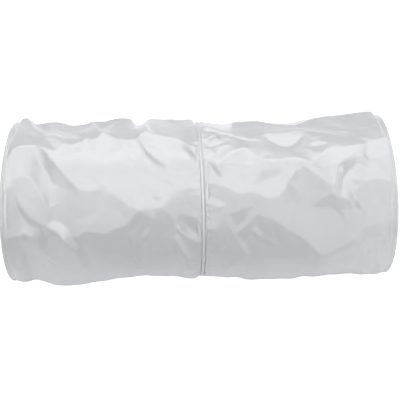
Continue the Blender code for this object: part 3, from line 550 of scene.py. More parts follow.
def facet_relief(side, x, turn):
    """Heights whose slopes come as near as they can to the facets' own. A facet's slope round the tube is
    the tangent of the angle between the way it faces and the wall's, and elsewhere it is nought. Along the
    tube each facet leans by its own mean, found anew in each round, so that it comes out flat and meets its
    neighbours at a crease. The least sum of the squared misses, with a weak pull on the heights, is a
    linear equation that sine waves solve."""
    rows, columns = [(count - 1) * FACET_STEPS + 1 for count in x.shape]
    distance = np.linspace(x[0, 0], x[-1, 0], rows)[:, None]
    angle = np.linspace(turn[0, 0], turn[0, -1], columns)[None] - 360
    slope = np.zeros((rows, columns))
    facet = np.zeros((rows, columns), int)
    for number, (_, faces, corners) in enumerate(FACETS, 1):
        if corners[0][0] * side > 0:
            low, high = np.array(corners).min(axis=0), np.array(corners).max(axis=0)
            i = (distance[:, 0] / BAY > low[0]) & (distance[:, 0] / BAY < high[0])
            j = (angle[0] > low[1]) & (angle[0] < high[1])
            near_x, near_turn = np.meshgrid(distance[i, 0], angle[0, j], indexing="ij")
            tilt = np.clip(faces - near_turn, -STEEPEST, STEEPEST)
            inside = facet_mask(near_x, near_turn, corners)
            place = np.ix_(i, j)
            slope[place] = np.where(inside, -np.tan(np.radians(tilt)), slope[place])
            facet[place] = np.where(inside, number, facet[place])
    width = abs(x[-1, 0] - x[0, 0])
    length = math.radians(turn[0, -1] - turn[0, 0]) * MID_RADIUS
    along_pull = ALONG_WEIGHT * (np.arange(1, rows - 1) * math.pi / width) ** 2
    round_pull = (np.arange(1, columns - 1) * math.pi / length) ** 2
    pull = (along_pull[:, None] + round_pull[None] + 1 / RELIEF_REACH ** 2) * (rows - 1) * (columns - 1) / 4
    round_source = -np.gradient(slope, length / (columns - 1), axis=1)
    heights = np.zeros((rows, columns))
    lean = np.zeros((rows, columns))
    for _ in range(FACET_ROUNDS):
        source = round_source - ALONG_WEIGHT * np.gradient(lean, width / (rows - 1), axis=0)
        heights[1:-1, 1:-1] = sine_waves(sine_waves(source[1:-1, 1:-1]) / pull)
        lean = np.gradient(heights, width / (rows - 1), axis=0)
        mean = np.bincount(facet.ravel(), lean.ravel()) / np.maximum(np.bincount(facet.ravel()), 1)
        lean = np.where(facet > 0, mean[facet], lean)
    return heights[::FACET_STEPS, ::FACET_STEPS]


def small_creases(total, side, x, arc, count, seed):
    """Adds short slanting creases scattered over one bay: each a small tent, bent a little in its
    middle."""
    rng = np.random.default_rng(seed)
    for _ in range(count):
        middle = np.array([side * rng.uniform(0.03, 0.97) * BAY, rng.uniform(0, 1) * arc.max()])
        slant = rng.choice([-1, 1]) * math.radians(rng.uniform(20, 80))
        length = rng.uniform(10, 42) * MM
        height = rng.choice([-1, 1]) * rng.uniform(0.25, 0.8) * MM * math.sqrt(length / (26 * MM))
        above = rng.uniform(3.5, 11) * MM
        below = rng.uniform(3.5, 11) * MM
        forward = np.array([math.cos(slant), math.sin(slant)]) * length / 2
        aside = np.array([-forward[1], forward[0]]) * rng.uniform(-0.3, 0.3)
        line = [middle - forward, middle + aside, middle + forward]
        add_crest(total, x, arc, line, height, above, below, fade=0.4)


def fill_facets(places, triangles, heights, rows, columns):
    """Heights on a grid, read off flat facets: each facet gives its own plane to the grid points inside it.
    Places are in steps of the grid."""
    filled = np.zeros((rows, columns))
    for triangle in triangles:
        corner = places[triangle]
        low = np.maximum(np.ceil(corner.min(axis=0) - 1e-6), 0).astype(int)
        high = np.minimum(np.floor(corner.max(axis=0) + 1e-6), (rows - 1, columns - 1)).astype(int)
        edges = np.column_stack([corner[1] - corner[0], corner[2] - corner[0]])
        if np.any(high < low) or abs(np.linalg.det(edges)) < 1e-9:
            continue
        i, j = np.mgrid[low[0]:high[0] + 1, low[1]:high[1] + 1]
        offsets = np.stack([i - corner[0][0], j - corner[0][1]])
        share = np.tensordot(np.linalg.inv(edges), offsets, axes=1)
        inside = (share.min(axis=0) > -1e-6) & (share.sum(axis=0) < 1 + 1e-6)
        first, second, third = heights[triangle]
        plane = first + share[0] * (second - first) + share[1] * (third - first)
        filled[i[inside], j[inside]] = plane[inside]
    return filled


def scattered(width, length, spacing, rng):
    """Points spread over a rectangle, one in each cell of a grid but off its middle, with a row along its
    edges."""
    rows = max(2, round(width / spacing))
    columns = max(2, round(length / spacing))
    i, j = np.mgrid[0:rows, 0:columns]
    shift = rng.uniform(0.08, 0.92, (2, rows, columns))
    inner = [(i + shift[0]) * width / rows, (j + shift[1]) * length / columns]
    inner = np.stack(inner, axis=-1).reshape(-1, 2)
    across = np.linspace(0, width, rows)
    along = np.linspace(0, length, columns)
    edges = [np.column_stack([across, np.full(rows, y)]) for y in (0, length)]
    edges += [np.column_stack([np.full(columns, x), along]) for x in (0, width)]
    return np.concatenate([inner, *edges])


def creased_facets(width, length, spacing, unevenness, rows, columns, seed):
    """The panel as flat facets between creases: scattered points joined into triangles, each point a little
    off the straight wall."""
    rng = np.random.default_rng(seed)
    points = scattered(width, length, spacing, rng)
    flat, _, faces, _, _, _ = delaunay_2d_cdt([Vector(p) for p in points], [], [], 0, 1e-6)
    flat = np.array([tuple(p) for p in flat])
    heights = unevenness * rng.standard_normal(len(flat))
    steps = np.array([(rows - 1) / width, (columns - 1) / length])
    return fill_facets(flat * steps, np.array(faces), heights, rows, columns)


def ripple(turn, counts, seed):
    """Uneven waves round a hoop, from 0 to 1: a few sines of whole counts, with seeded phases."""
    rng = np.random.default_rng(seed)
    total = np.zeros(np.shape(turn))
    for count in counts:
        total += np.sin(np.radians(turn) * count + rng.uniform(0, 2 * math.pi))
    return 0.5 + 0.5 * total / len(counts)


def bell(turn, middle, half):
    """1 at a turn and falling off to each side of it."""
    return np.exp(-((nearest_turn(turn, middle) - middle) / half) ** 2)


def seam_pockets(turn):
    """How far the right panel's edge is drawn back from the centre seam, in a few uneven pockets."""
    return sum(depth * MM * bell(turn, middle, half) for middle, half, depth in POCKETS)


def panel_heights(side, x, turn):
    """How far a bay's cloth stands out from the straight wall between its hoops, on its grid of points."""
    rows, columns = x.shape
    arc = np.radians(turn - SEAM_TURN) * MID_RADIUS
    width = abs(x[-1, 0] - x[0, 0])
    length = arc[0, -1]
    total = creased_facets(width, length, *LARGE_CREASES, rows, columns, 5 + side)
    total += creased_facets(width, length, *SMALL_CREASES, rows, columns, 15 + side)
    total += fold_sum(FOLDS, side, x, arc) + swell_sum(x, arc)
    small_creases(total, side, x, arc, SHORT_CREASES, 25 + side)
    from_centre = np.abs(x) - 4 * MM
    from_end = BAY - 4 * MM - np.abs(x)
    from_seam = np.abs(nearest_turn(turn, SEAM_TURN) - SEAM_TURN) - 4
    total *= smooth_step(from_centre / (11 * MM)) * smooth_step(from_end / (15 * MM))
    total *= smooth_step(from_seam / 14)
    total += facet_relief(side, x, turn)
    at_end = ripple(turn, (61, 83, 47), 11 + side) ** 2 * np.exp(-(from_end / (12 * MM)) ** 2)
    at_centre = ripple(turn, (43, 71, 58), 23 + side) ** 2 * np.exp(-(from_centre / (14 * MM)) ** 2)
    total += HEM_RIPPLE * at_end + CASING_RIPPLE * at_centre
    if side > 0:
        total += 0.8 * seam_pockets(turn) * np.exp(-(from_centre / (8 * MM)) ** 2)
    return total


class Bay:
    """The cloth between two hoops: a grid of places on its laid-out panel, and how far each stands out."""

    def __init__(self, end):
        self.side = end.side
        self.end = end
        slit = math.degrees(SEAM_SLIT / 2 / MID_RADIUS)
        distance = np.linspace(EDGE, BAY - EDGE, PANEL_ROWS)
        turn = np.linspace(SEAM_TURN + slit, SEAM_TURN + 360 - slit, PANEL_COLUMNS)
        self.x, self.turn = np.meshgrid(self.side * distance, turn, indexing="ij")
        self.height = panel_heights(self.side, self.x, self.turn)

    def sample(self, x, turn):
        """The cloth's height at any places, between the points of the grid."""
        i = (np.abs(x) - EDGE) / (BAY - 2 * EDGE) * (PANEL_ROWS - 1)
        j = (turn - self.turn[0, 0]) / (self.turn[0, -1] - self.turn[0, 0]) * (PANEL_COLUMNS - 1)
        i = np.clip(i, 0, PANEL_ROWS - 1.001)
        j = np.clip(j, 0, PANEL_COLUMNS - 1.001)
        i0, j0 = i.astype(int), j.astype(int)
        u, v = i - i0, j - j0
        low = self.height[i0, j0] * (1 - v) + self.height[i0, j0 + 1] * v
        high = self.height[i0 + 1, j0] * (1 - v) + self.height[i0 + 1, j0 + 1] * v
        return low * (1 - u) + high * u

    def point(self, x, turn):
        """Points on the outer face of the cloth."""
        shifted = x
        if self.side > 0:
            shifted = x + seam_pockets(turn) * np.exp(-(np.abs(x) / (9 * MM)) ** 2)
        return wall_place(shifted, turn, COVER_RISE + self.sample(x, turn))

    def lap(self, at_centre):
        """Rows of points where the cloth's edge climbs onto the round of a hoop's tape, from its lip
        down."""
        turn = self.turn[0]
        if at_centre:
            from_top = nearest_turn(turn, 90) - 90
            low = 30 + 45 * smooth_step((from_top + 66) / 30) * (from_top < 100)
            top = np.clip(low + 10 * (ripple(turn, (31, 47), 71 + self.side) - 0.5), 28, 80)
            if self.side > 0:
                top = np.clip(top - seam_pockets(turn) / MM * 30, 12, 80)
        else:
            top = 98 + 16 * (ripple(turn, (37, 53, 29), 81 + self.side) - 0.5)
        share = np.linspace(0, 1, LAP_ROWS + 1)[:-1, None]
        angle = np.radians(top * (1 - share) + LAP_FOOT * share)
        along = LAP_RADIUS * np.cos(angle)
        out = LAP_RADIUS * np.sin(angle)
        if at_centre:
            height = self.height[0]
            shift = seam_pockets(turn) if self.side > 0 else 0
            place = wall_place(self.side * along + shift, turn[None], out + height * share)
        else:
            height = self.height[-1]
            place = wall_place(self.side * (BAY - along), turn[None], out + height * share)[::-1]
        return place


def wall_place(x, turn, out):
    """Points at x along a bay's wall, out from the line between its two hoops, and never below the
    floor."""
    share = np.abs(x) / BAY
    side = np.sign(np.mean(x))
    end = LEFT if side < 0 else RIGHT
    radius = CENTRE.radius + (end.radius - CENTRE.radius) * share + out
    height = CENTRE.height + (end.height - CENTRE.height) * share
    angle = np.radians(turn)
    y = -radius * np.cos(angle)
    up = radius * np.sin(angle)
    lean = up * end.slope_up * share + y * CENTRE.slope_back * (1 - share)
    return np.stack([CENTRE.x + x + lean, y, np.maximum(height + up, 0.15 * MM)], axis=-1)


def grid_faces(rows, columns, wrap_rows=False, wrap_columns=False):
    """Quads between the neighbours of a grid of points, whose rows and columns may close on themselves."""
    row_count = rows if wrap_rows else rows - 1
    column_count = columns if wrap_columns else columns - 1
    i, j = np.meshgrid(np.arange(row_count), np.arange(column_count), indexing="ij")
    next_i = (i + 1) % rows
    next_j = (j + 1) % columns
    quads = [i * columns + j, i * columns + next_j, next_i * columns + next_j, next_i * columns + j]
    return np.stack(quads, axis=-1).reshape(-1, 4)


def make_mesh(name, points, quads, uv=None, material=None):
    """Puts arrays of points and quads into a smooth-shaded mesh object, with a UV pair for each point."""
    points = np.asarray(points, float).reshape(-1, 3)
    mesh = bpy.data.meshes.new(name)
    mesh.vertices.add(len(points))
    mesh.vertices.foreach_set("co", points.astype(np.float32).ravel())
    mesh.loops.add(quads.size)
    mesh.loops.foreach_set("vertex_index", quads.ravel().astype(np.int32))
    mesh.polygons.add(len(quads))
    mesh.polygons.foreach_set("loop_start", np.arange(0, quads.size, 4, dtype=np.int32))
    mesh.update(calc_edges=True)
    if uv is not None:
        layer = mesh.uv_layers.new(name="cloth")
        layer.data.foreach_set("uv", uv.reshape(-1, 2)[quads.ravel()].astype(np.float32).ravel())
    mesh.shade_smooth()
    if material is not None:
        mesh.materials.append(material)
    piece = bpy.data.objects.new(name, mesh)
    bpy.context.scene.collection.objects.link(piece)
    return piece


def grid_normals(points):
    """Unit normals of a grid of points, from the cross product of its two directions."""
    along = np.gradient(points, axis=0)
    across = np.gradient(points, axis=1)
    normals = np.cross(along, across)
    return normals / np.maximum(np.linalg.norm(normals, axis=-1, keepdims=True), 1e-12)


def shell_faces(rows, columns):
    """Faces of a closed shell: a front grid, a back grid turned over, and a rim of quads round the edge."""
    front = grid_faces(rows, columns)
    count = rows * columns
    index = np.arange(count).reshape(rows, columns)
    edge = np.concatenate([index[0, :-1], index[:-1, -1], index[-1, :0:-1], index[:0:-1, 0]])
    following = np.roll(edge, -1)
    rim = np.stack([following, edge, edge + count, following + count], axis=-1)
    return np.concatenate([front, front[:, ::-1] + count, rim])


def sheet_shell(name, outer, thickness, uv, material):
    """A sheet with a thickness: the outer grid of points and a copy moved in along its normals."""
    outward = grid_normals(outer)
    middle = outer.mean(axis=(0, 1))
    if np.sum(outward * (outer - middle)) < 0:
        outward = -outward
        outer = outer[:, ::-1]
        uv = uv[:, ::-1]
        outward = outward[:, ::-1]
    inner = outer - outward * thickness
    inner[..., 2] = np.maximum(inner[..., 2], outer[..., 2].min() + 0.05 * MM)
    rows, columns = outer.shape[:2]
    points = np.concatenate([outer.reshape(-1, 3), inner.reshape(-1, 3)])
    both = np.concatenate([uv.reshape(-1, 2), uv.reshape(-1, 2)])
    return make_mesh(name, points, shell_faces(rows, columns), both, material)


def make_cover(bay, name, material):
    """The cloth of a bay, with both edges lapped onto its hoops' tapes."""
    middle = bay.point(bay.x, bay.turn)
    points = np.concatenate([bay.lap(True), middle, bay.lap(False)])
    first = bay.x[0] - bay.side * np.linspace(1, 0.2, LAP_ROWS)[:, None] * BEAD_RADIUS
    last = bay.x[-1] + bay.side * np.linspace(0.2, 1, LAP_ROWS)[:, None] * BEAD_RADIUS
    x = np.concatenate([first, bay.x, last])
    turn = np.broadcast_to(bay.turn[0], x.shape)
    return sheet_shell(name, points, CLOTH, surface_uv(x, turn), material)


def surface_uv(x, turn):
    """Places on the laid-out cloth in metres: along it, and round it."""
    return np.stack([x, np.radians(turn - SEAM_TURN) * MID_RADIUS], axis=-1)


def erode(values, reach):
    """The least value within a few grid points each way, so that a sheet behind stays behind."""
    least = values
    for axis in (0, 1):
        padded = np.pad(least, [(reach, reach) if a == axis else (0, 0) for a in (0, 1)], mode="edge")
        count = least.shape[axis]
        shifts = [np.take(padded, np.arange(s, s + count), axis=axis) for s in range(2 * reach + 1)]
        least = np.minimum.reduce(shifts)
    return least


def make_film(bay, name, material):
    """The film follows the cloth from behind, every other point of its grid, with sharp crinkles of its
    own."""
    height = erode(bay.height, 2)[::2, ::2]
    x = bay.x[::2, ::2]
    turn = bay.turn[::2, ::2]
    rows, columns = x.shape
    width = BAY - 2 * EDGE
    length = math.radians(turn[0, -1] - SEAM_TURN) * MID_RADIUS
    crinkle = creased_facets(width, length, 11 * MM, 0.5 * MM, rows, columns, 45 + bay.side)
    from_hoop = np.minimum(np.abs(x), BAY - np.abs(x)) - FLANGE
    inward = -np.abs(crinkle) * smooth_step(from_hoop / (20 * MM))
    points = wall_place(x, turn, COVER_RISE - FILM_DROP + height + 1.6 * inward)
    points[..., 2] = np.maximum(points[..., 2], 1.2 * MM)
    return sheet_shell(name, points, FILM, surface_uv(x, turn), material)


def make_seam_tape(side, name, material):
    """A flat woven tape behind the lengthwise slit, slightly wavy across."""
    rows, columns = 90, 9
    x = side * np.linspace(FLANGE + FIT, BAY - FLANGE - FIT, rows)
    half_turn = math.degrees(SEAM_TAPE_WIDTH / 2 / MID_RADIUS)
    turn = np.linspace(SEAM_TURN - half_turn, SEAM_TURN + half_turn, columns)
    x, turn = np.meshgrid(x, turn, indexing="ij")
    wave = 0.08 * MM * np.sin(x * 2 * math.pi / (9 * MM))
    points = wall_place(x, turn, TAPE / 2 + wave)
    return sheet_shell(name, points, TAPE - 0.1 * MM, surface_uv(x, turn), material)


def arc_points(radius, start, stop, count):
    angles = np.radians(np.linspace(start, stop, count))
    return np.stack([radius * np.cos(angles), radius * np.sin(angles)], axis=-1)


def hem_section(inward):
    """A tape folded round the wire, as (along, out) points: a round bead, a lip that stops short, and a
    flange."""
    half = TAPE / 2
    meet = math.degrees(math.asin(half / BEAD_RADIUS))
    lip_outer = math.degrees(math.asin(0.65 * MM / BEAD_RADIUS))
    lip_inner = math.degrees(math.asin(0.65 * MM / CASING_BORE))
    inner_meet = math.degrees(math.asin(half / CASING_BORE))
    outer = arc_points(BEAD_RADIUS, meet, 360 - lip_outer, 22)
    inner = arc_points(CASING_BORE, 360 - lip_inner, inner_meet - 2 * inner_meet, 18)
    flange = np.array([(FLANGE, -half), (FLANGE + 0.12 * MM, 0), (FLANGE, half), (FLANGE / 2, half)])
    section = np.concatenate([outer, inner, flange])
    section[:, 0] *= inward
    return section


def casing_section():
    """A tape folded over the wire with a flange to each side, and its slit towards the tunnel's axis."""
    half = TAPE / 2
    meet = math.degrees(math.asin(half / BEAD_RADIUS))
    slit = 4.0
    right = arc_points(BEAD_RADIUS, -90 + slit, -meet, 9)
    top = arc_points(BEAD_RADIUS, meet, 180 - meet, 17)
    left = arc_points(BEAD_RADIUS, 180 + meet, 270 - slit, 9)
    inner = arc_points(CASING_BORE, 270 - slit, -90 + slit, 22)
    right_flange = np.array([(FLANGE / 2, -half), (FLANGE, -half), (FLANGE + 0.12 * MM, 0), (FLANGE, half),
                             (FLANGE / 2, half)])
    left_flange = right_flange[::-1] * np.array([-1, 1])
    return np.concatenate([right, right_flange, top, left_flange, left, inner])


def ring_piece(name, hoop, section, material, steps=288, uneven=0.0, seed=3):
    """A closed section of (along, out) points carried once round a hoop, slightly uneven as sewn tape
    is."""
    turn = np.linspace(0, 360, steps, endpoint=False)
    section = np.asarray(section)
    along = np.repeat(section[:, 0][None, :], steps, axis=0)
    out = np.repeat(section[:, 1][None, :], steps, axis=0)
    swell = 1 + uneven * (ripple(turn, (37, 59, 91, 140), seed)[:, None] - 0.7)
    outside = np.hypot(along, out) > (BEAD_RADIUS + CASING_BORE) / 2
    on_bead = outside & (np.abs(along) <= BEAD_RADIUS * 1.001)
    along = np.where(on_bead, along * swell, along)
    out = np.where(on_bead, out * swell, out)
    points = hoop.place(along, out, turn[:, None])
    points[..., 2] = np.maximum(points[..., 2], 0)
    walked = np.concatenate([[0], np.cumsum(np.hypot(*np.diff(section, axis=0).T))])
    arc = np.radians(turn)[:, None] * hoop.radius
    uv = np.stack(np.broadcast_arrays(walked[None, :], arc), axis=-1)
    quads = grid_faces(steps, len(section), wrap_rows=True, wrap_columns=True)
    piece = make_mesh(name, points, outward_quads(points, quads, hoop), uv, material)
    return piece


def outward_quads(points, quads, hoop):
    """The quads, turned over where that is needed for the piece's outermost face to look away from the
    axis."""
    flat = points.reshape(-1, 3)
    corners = flat[quads]
    centres = corners.mean(axis=1)
    distance = np.hypot(centres[:, 1], centres[:, 2] - hoop.height)
    outermost = np.argmax(distance)
    a, b, c, d = corners[outermost]
    normal = np.cross(c - a, d - b)
    away = centres[outermost] - np.array([centres[outermost][0], 0, hoop.height])
    return quads if normal @ away > 0 else quads[:, ::-1]


def capped_tube(name, path, radius, normals, sides, material):
    """A round tube along a path of points, closed by small domes that end in a point."""
    tangents = np.gradient(path, axis=0)
    tangents /= np.linalg.norm(tangents, axis=1, keepdims=True)
    other = np.cross(tangents, normals)
    angle = np.linspace(0, 2 * math.pi, sides, endpoint=False)
    ring = np.cos(angle)[None, :, None] * normals[:, None] + np.sin(angle)[None, :, None] * other[:, None]
    shares = np.ones(len(path))
    shares[0] = shares[-1] = 0.04
    shares[1] = shares[-2] = 0.75
    points = path[:, None] + ring * radius * shares[:, None, None]
    quads = grid_faces(len(path), sides, wrap_columns=True)
    first = np.arange(sides)
    last = first + (len(path) - 1) * sides
    half = sides // 2
    cap = []
    for i in range(half - 1):
        cap.append([first[i + 1], first[i], first[-i - 1], first[-i - 2]])
        cap.append([last[i], last[i + 1], last[-i - 2], last[-i - 1]])
    quads = np.concatenate([quads, np.array(cap)])
    return make_mesh(name, points, quads, None, material)


def make_wire(hoop, material):
    """A round wire bent into a hoop, open by a hair inside its ferrule."""
    gap = math.degrees(WIRE_END_GAP / 2 / hoop.radius)
    turn = np.linspace(FERRULE_TURN + gap, FERRULE_TURN + 360 - gap, 300)
    path = hoop.place(0, 0, turn)
    normals = hoop.place(0, 1, turn) - path
    normals /= np.linalg.norm(normals, axis=1, keepdims=True)
    return capped_tube(f"{hoop.name}_wire", path, WIRE_RADIUS, normals, 12, material)


def make_ferrule(hoop, material):
    """A short tube with two crimp dents, bent along the hoop where the wire's ends meet."""
    half = FERRULE_LENGTH / 2
    along = np.linspace(-half, half, 21)
    dents = [np.exp(-((along + place) / (0.9 * MM)) ** 2) for place in (-2.4 * MM, 2.4 * MM)]
    outer = FERRULE_RADIUS - 0.22 * MM * (dents[0] + dents[1])
    edge = 0.12 * MM
    back = along[::-5][1:-1]
    profile_along = np.concatenate([[-half + edge], along[1:-1], [half - edge, half, half], back,
                                    [-half, -half]])
    profile_out = np.concatenate([outer, [outer[-1] - edge, FERRULE_BORE], np.full(len(back), FERRULE_BORE),
                                  [FERRULE_BORE, outer[0] - edge]])
    spin = np.linspace(0, 2 * math.pi, 24, endpoint=False)
    turn = FERRULE_TURN + np.degrees(profile_along[:, None] / hoop.radius)
    aside = profile_out[:, None] * np.sin(spin)[None, :]
    out = profile_out[:, None] * np.cos(spin)[None, :]
    points = hoop.place(aside, out, turn)
    quads = grid_faces(len(profile_along), 24, wrap_rows=True, wrap_columns=True)
    return make_mesh(f"{hoop.name}_crimp", points, outward_quads(points, quads, hoop), None, material)


def stitch_row(name, centres, forward, outward, material):
    """Short threads in a row: each a thin tube whose ends dip into the cloth."""
    along = np.array([-0.5, -0.4, -0.15, 0.15, 0.4, 0.5]) * STITCH
    rise = np.array([-0.9, 0.1, 0.55, 0.55, 0.1, -0.9]) * THREAD_RADIUS
    girth = np.array([0.5, 0.9, 1, 1, 0.9, 0.5]) * THREAD_RADIUS
    sides = 6
    angle = np.linspace(0, 2 * math.pi, sides, endpoint=False)
    across = np.cross(forward, outward)
    spine = centres[:, None] + along[None, :, None] * forward[:, None]
    spine = spine + rise[None, :, None] * outward[:, None]
    ring = np.cos(angle)[None, :, None] * outward[:, None] + np.sin(angle)[None, :, None] * across[:, None]
    points = spine[:, :, None] + ring[:, None] * girth[None, :, None, None]
    count = len(centres)
    body = grid_faces(len(along), sides, wrap_columns=True)
    last = (len(along) - 1) * sides
    caps = np.array([[1, 0, 5, 4], [2, 1, 4, 3], [last, last + 1, last + 4, last + 5],
                     [last + 1, last + 2, last + 3, last + 4]])
    each = np.concatenate([body, caps])
    quads = (each[None] + np.arange(count)[:, None, None] * len(along) * sides).reshape(-1, 4)
    return make_mesh(name, points, quads, None, material)


def round_stitches(name, bay, at, material):
    """A row of stitches round a bay's cloth, at a distance x along it from the centre hoop."""
    spacing = STITCH + STITCH_GAP
    count = int(2 * math.pi * MID_RADIUS / spacing)
    turn = SEAM_TURN + 1.5 + np.linspace(0, 357, count, endpoint=False)
    x = np.full(turn.shape, bay.side * at)
    centre = bay.point(x, turn)
    forward = bay.point(x, turn + 0.4) - bay.point(x, turn - 0.4)
    return stitched(name, centre, forward, bay.point(x + MM, turn) - centre, material)


def seam_stitches(name, bay, offset, material):
    """A row of stitches along the lengthwise seam, at an offset in degrees from it."""
    spacing = STITCH + STITCH_GAP
    x = bay.side * np.arange(FLANGE + 3 * MM, BAY - FLANGE - 3 * MM, spacing)
    turn = np.full(x.shape, SEAM_TURN + offset % 360)
    centre = bay.point(x, turn)
    ahead = bay.point(x + MM, turn) - centre
    return stitched(name, centre, ahead, bay.point(x, turn + 0.4) - centre, material)


def stitched(name, centre, forward, aside, material):
    forward = forward / np.linalg.norm(forward, axis=1, keepdims=True)
    outward = np.cross(forward, aside)
    outward /= np.linalg.norm(outward, axis=1, keepdims=True)
    away = centre - np.array([0, 0, MID_RADIUS]) * [0, 0, 1]
    away[:, 0] = 0
    outward *= np.sign(np.sum(outward * away, axis=1))[:, None]
    return stitch_row(name, centre, forward, outward, material)


def socket(group, name, kind, is_input, value=None):
    made = group.interface.new_socket(name=name, in_out="INPUT" if is_input else "OUTPUT", socket_type=kind)
    if value is not None:
        made.default_value = value
    return made


class Sheet:
    """A small helper that adds nodes to a tree and joins them."""

    def __init__(self, tree):
        self.tree = tree

    def node(self, kind, **settings):
        node = self.tree.nodes.new(kind)
        for key, value in settings.items():
            setattr(node, key, value)
        return node

    def join(self, source, target):
        self.tree.links.new(source, target)

    def sum(self, operation, first, second=None):
        node = self.node("ShaderNodeMath", operation=operation)
        for index, value in enumerate((first, second)):
            if value is None:
                continue
            if isinstance(value, (int, float)):
                node.inputs[index].default_value = value
            else:
                self.join(value, node.inputs[index])
        return node.outputs[0]


def weave_group():
    """Threads of a satin weave: fine lines along the cloth, broken by the long floats of the weave."""
    group = bpy.data.node_groups.new("satin_weave", "ShaderNodeTree")
    socket(group, "Vector", "NodeSocketVector", True)
    socket(group, "Threads", "NodeSocketFloat", True, 1800.0)
    socket(group, "Height", "NodeSocketFloat", False)
    sheet = Sheet(group)
    source = sheet.node("NodeGroupInput")
    result = sheet.node("NodeGroupOutput")
    parts = sheet.node("ShaderNodeSeparateXYZ")
    sheet.join(source.outputs["Vector"], parts.inputs[0])
    turns = sheet.sum("MULTIPLY", source.outputs["Threads"], 2 * math.pi)
    warp = sheet.sum("SINE", sheet.sum("MULTIPLY", parts.outputs["Y"], turns))
    slant = sheet.sum("ADD", parts.outputs["X"], sheet.sum("MULTIPLY", parts.outputs["Y"], 0.4))
    floats = sheet.sum("SINE", sheet.sum("MULTIPLY", sheet.sum("MULTIPLY", slant, turns), 0.21))
    both = sheet.sum("ADD", sheet.sum("MULTIPLY", warp, 0.35), sheet.sum("MULTIPLY", floats, 0.15))
    sheet.join(sheet.sum("ADD", both, 0.5), result.inputs["Height"])
    return group


def crumple_group():
    """Fine crumpling: small facets of two sizes with ridges between them, and a patchy mask for tone."""
    group = bpy.data.node_groups.new("crumple", "ShaderNodeTree")
    socket(group, "Vector", "NodeSocketVector", True)
    socket(group, "Facets", "NodeSocketFloat", True, 60.0)
    socket(group, "Height", "NodeSocketFloat", False)
    socket(group, "Patch", "NodeSocketFloat", False)
    sheet = Sheet(group)
    source = sheet.node("NodeGroupInput")
    result = sheet.node("NodeGroupOutput")
    drift = sheet.node("ShaderNodeTexNoise")
    drift.inputs["Detail"].default_value = 2.0
    sheet.join(source.outputs["Vector"], drift.inputs["Vector"])
    sheet.join(sheet.sum("MULTIPLY", source.outputs["Facets"], 0.8), drift.inputs["Scale"])
    shift = sheet.node("ShaderNodeVectorMath", operation="SCALE")
    shift.inputs["Scale"].default_value = 0.012
    sheet.join(drift.outputs["Color"], shift.inputs[0])
    moved = sheet.node("ShaderNodeVectorMath", operation="ADD")
    sheet.join(source.outputs["Vector"], moved.inputs[0])
    sheet.join(shift.outputs[0], moved.inputs[1])
    heights = []
    for factor, weight in ((1.0, 0.6), (2.7, 0.25)):
        cells = sheet.node("ShaderNodeTexVoronoi", feature="DISTANCE_TO_EDGE")
        sheet.join(moved.outputs[0], cells.inputs["Vector"])
        sheet.join(sheet.sum("MULTIPLY", source.outputs["Facets"], factor), cells.inputs["Scale"])
        heights.append(sheet.sum("MULTIPLY", cells.outputs["Distance"], weight))
    sheet.join(sheet.sum("ADD", heights[0], heights[1]), result.inputs["Height"])
    patch = sheet.node("ShaderNodeTexNoise")
    patch.inputs["Detail"].default_value = 4.0
    sheet.join(source.outputs["Vector"], patch.inputs["Vector"])
    sheet.join(sheet.sum("MULTIPLY", source.outputs["Facets"], 0.35), patch.inputs["Scale"])
    sheet.join(patch.outputs["Fac"], result.inputs["Patch"])
    return group


def near_floor_grey_group():
    """A faint greying where a piece is close to the floor, broken up by noise."""
    group = bpy.data.node_groups.new("near_floor_grey", "ShaderNodeTree")
    socket(group, "Vector", "NodeSocketVector", True)
    socket(group, "Reach", "NodeSocketFloat", True, 0.05)
    socket(group, "Mask", "NodeSocketFloat", False)
    sheet = Sheet(group)
    source = sheet.node("NodeGroupInput")
    result = sheet.node("NodeGroupOutput")
    parts = sheet.node("ShaderNodeSeparateXYZ")
    sheet.join(source.outputs["Vector"], parts.inputs[0])
    height = sheet.sum("DIVIDE", parts.outputs["Z"], source.outputs["Reach"])
    low = sheet.sum("MAXIMUM", sheet.sum("SUBTRACT", 1.0, height), 0.0)
    noise = sheet.node("ShaderNodeTexNoise")
    noise.inputs["Scale"].default_value = 45.0
    noise.inputs["Detail"].default_value = 5.0
    sheet.join(source.outputs["Vector"], noise.inputs["Vector"])
    sheet.join(sheet.sum("MULTIPLY", low, noise.outputs["Fac"]), result.inputs["Mask"])
    return group


WEAVE = weave_group()
CRUMPLE = crumple_group()
NEAR_FLOOR_GREY = near_floor_grey_group()


def start_material(name):
    material = bpy.data.materials.new(name)
    material.use_nodes = True
    sheet = Sheet(material.node_tree)
    return material, sheet, material.node_tree.nodes["Principled BSDF"]


def group_node(sheet, group, vector, **values):
    node = sheet.node("ShaderNodeGroup", node_tree=group)
    sheet.join(vector, node.inputs["Vector"])
    for key, value in values.items():
        node.inputs[key].default_value = value
    return node


def mixed_colour(sheet, mask, first, second):
    ramp = sheet.node("ShaderNodeMix", data_type="RGBA")
    sheet.join(mask, ramp.inputs["Factor"])
    ramp.inputs["A"].default_value = (*first, 1)
    ramp.inputs["B"].default_value = (*second, 1)
    return ramp.outputs["Result"]


def ranged(sheet, value, low, high, from_low=0.0, from_high=1.0):
    node = sheet.node("ShaderNodeMapRange")
    sheet.join(value, node.inputs["Value"])
    node.inputs["From Min"].default_value = from_low
    node.inputs["From Max"].default_value = from_high
    node.inputs["To Min"].default_value = low
    node.inputs["To Max"].default_value = high
    return node.outputs["Result"]


def bumped(sheet, height, strength, distance, before=None):
    node = sheet.node("ShaderNodeBump")
    node.inputs["Strength"].default_value = strength
    node.inputs["Distance"].default_value = distance
    sheet.join(height, node.inputs["Height"])
    if before is not None:
        sheet.join(before, node.inputs["Normal"])
    return node.outputs["Normal"]


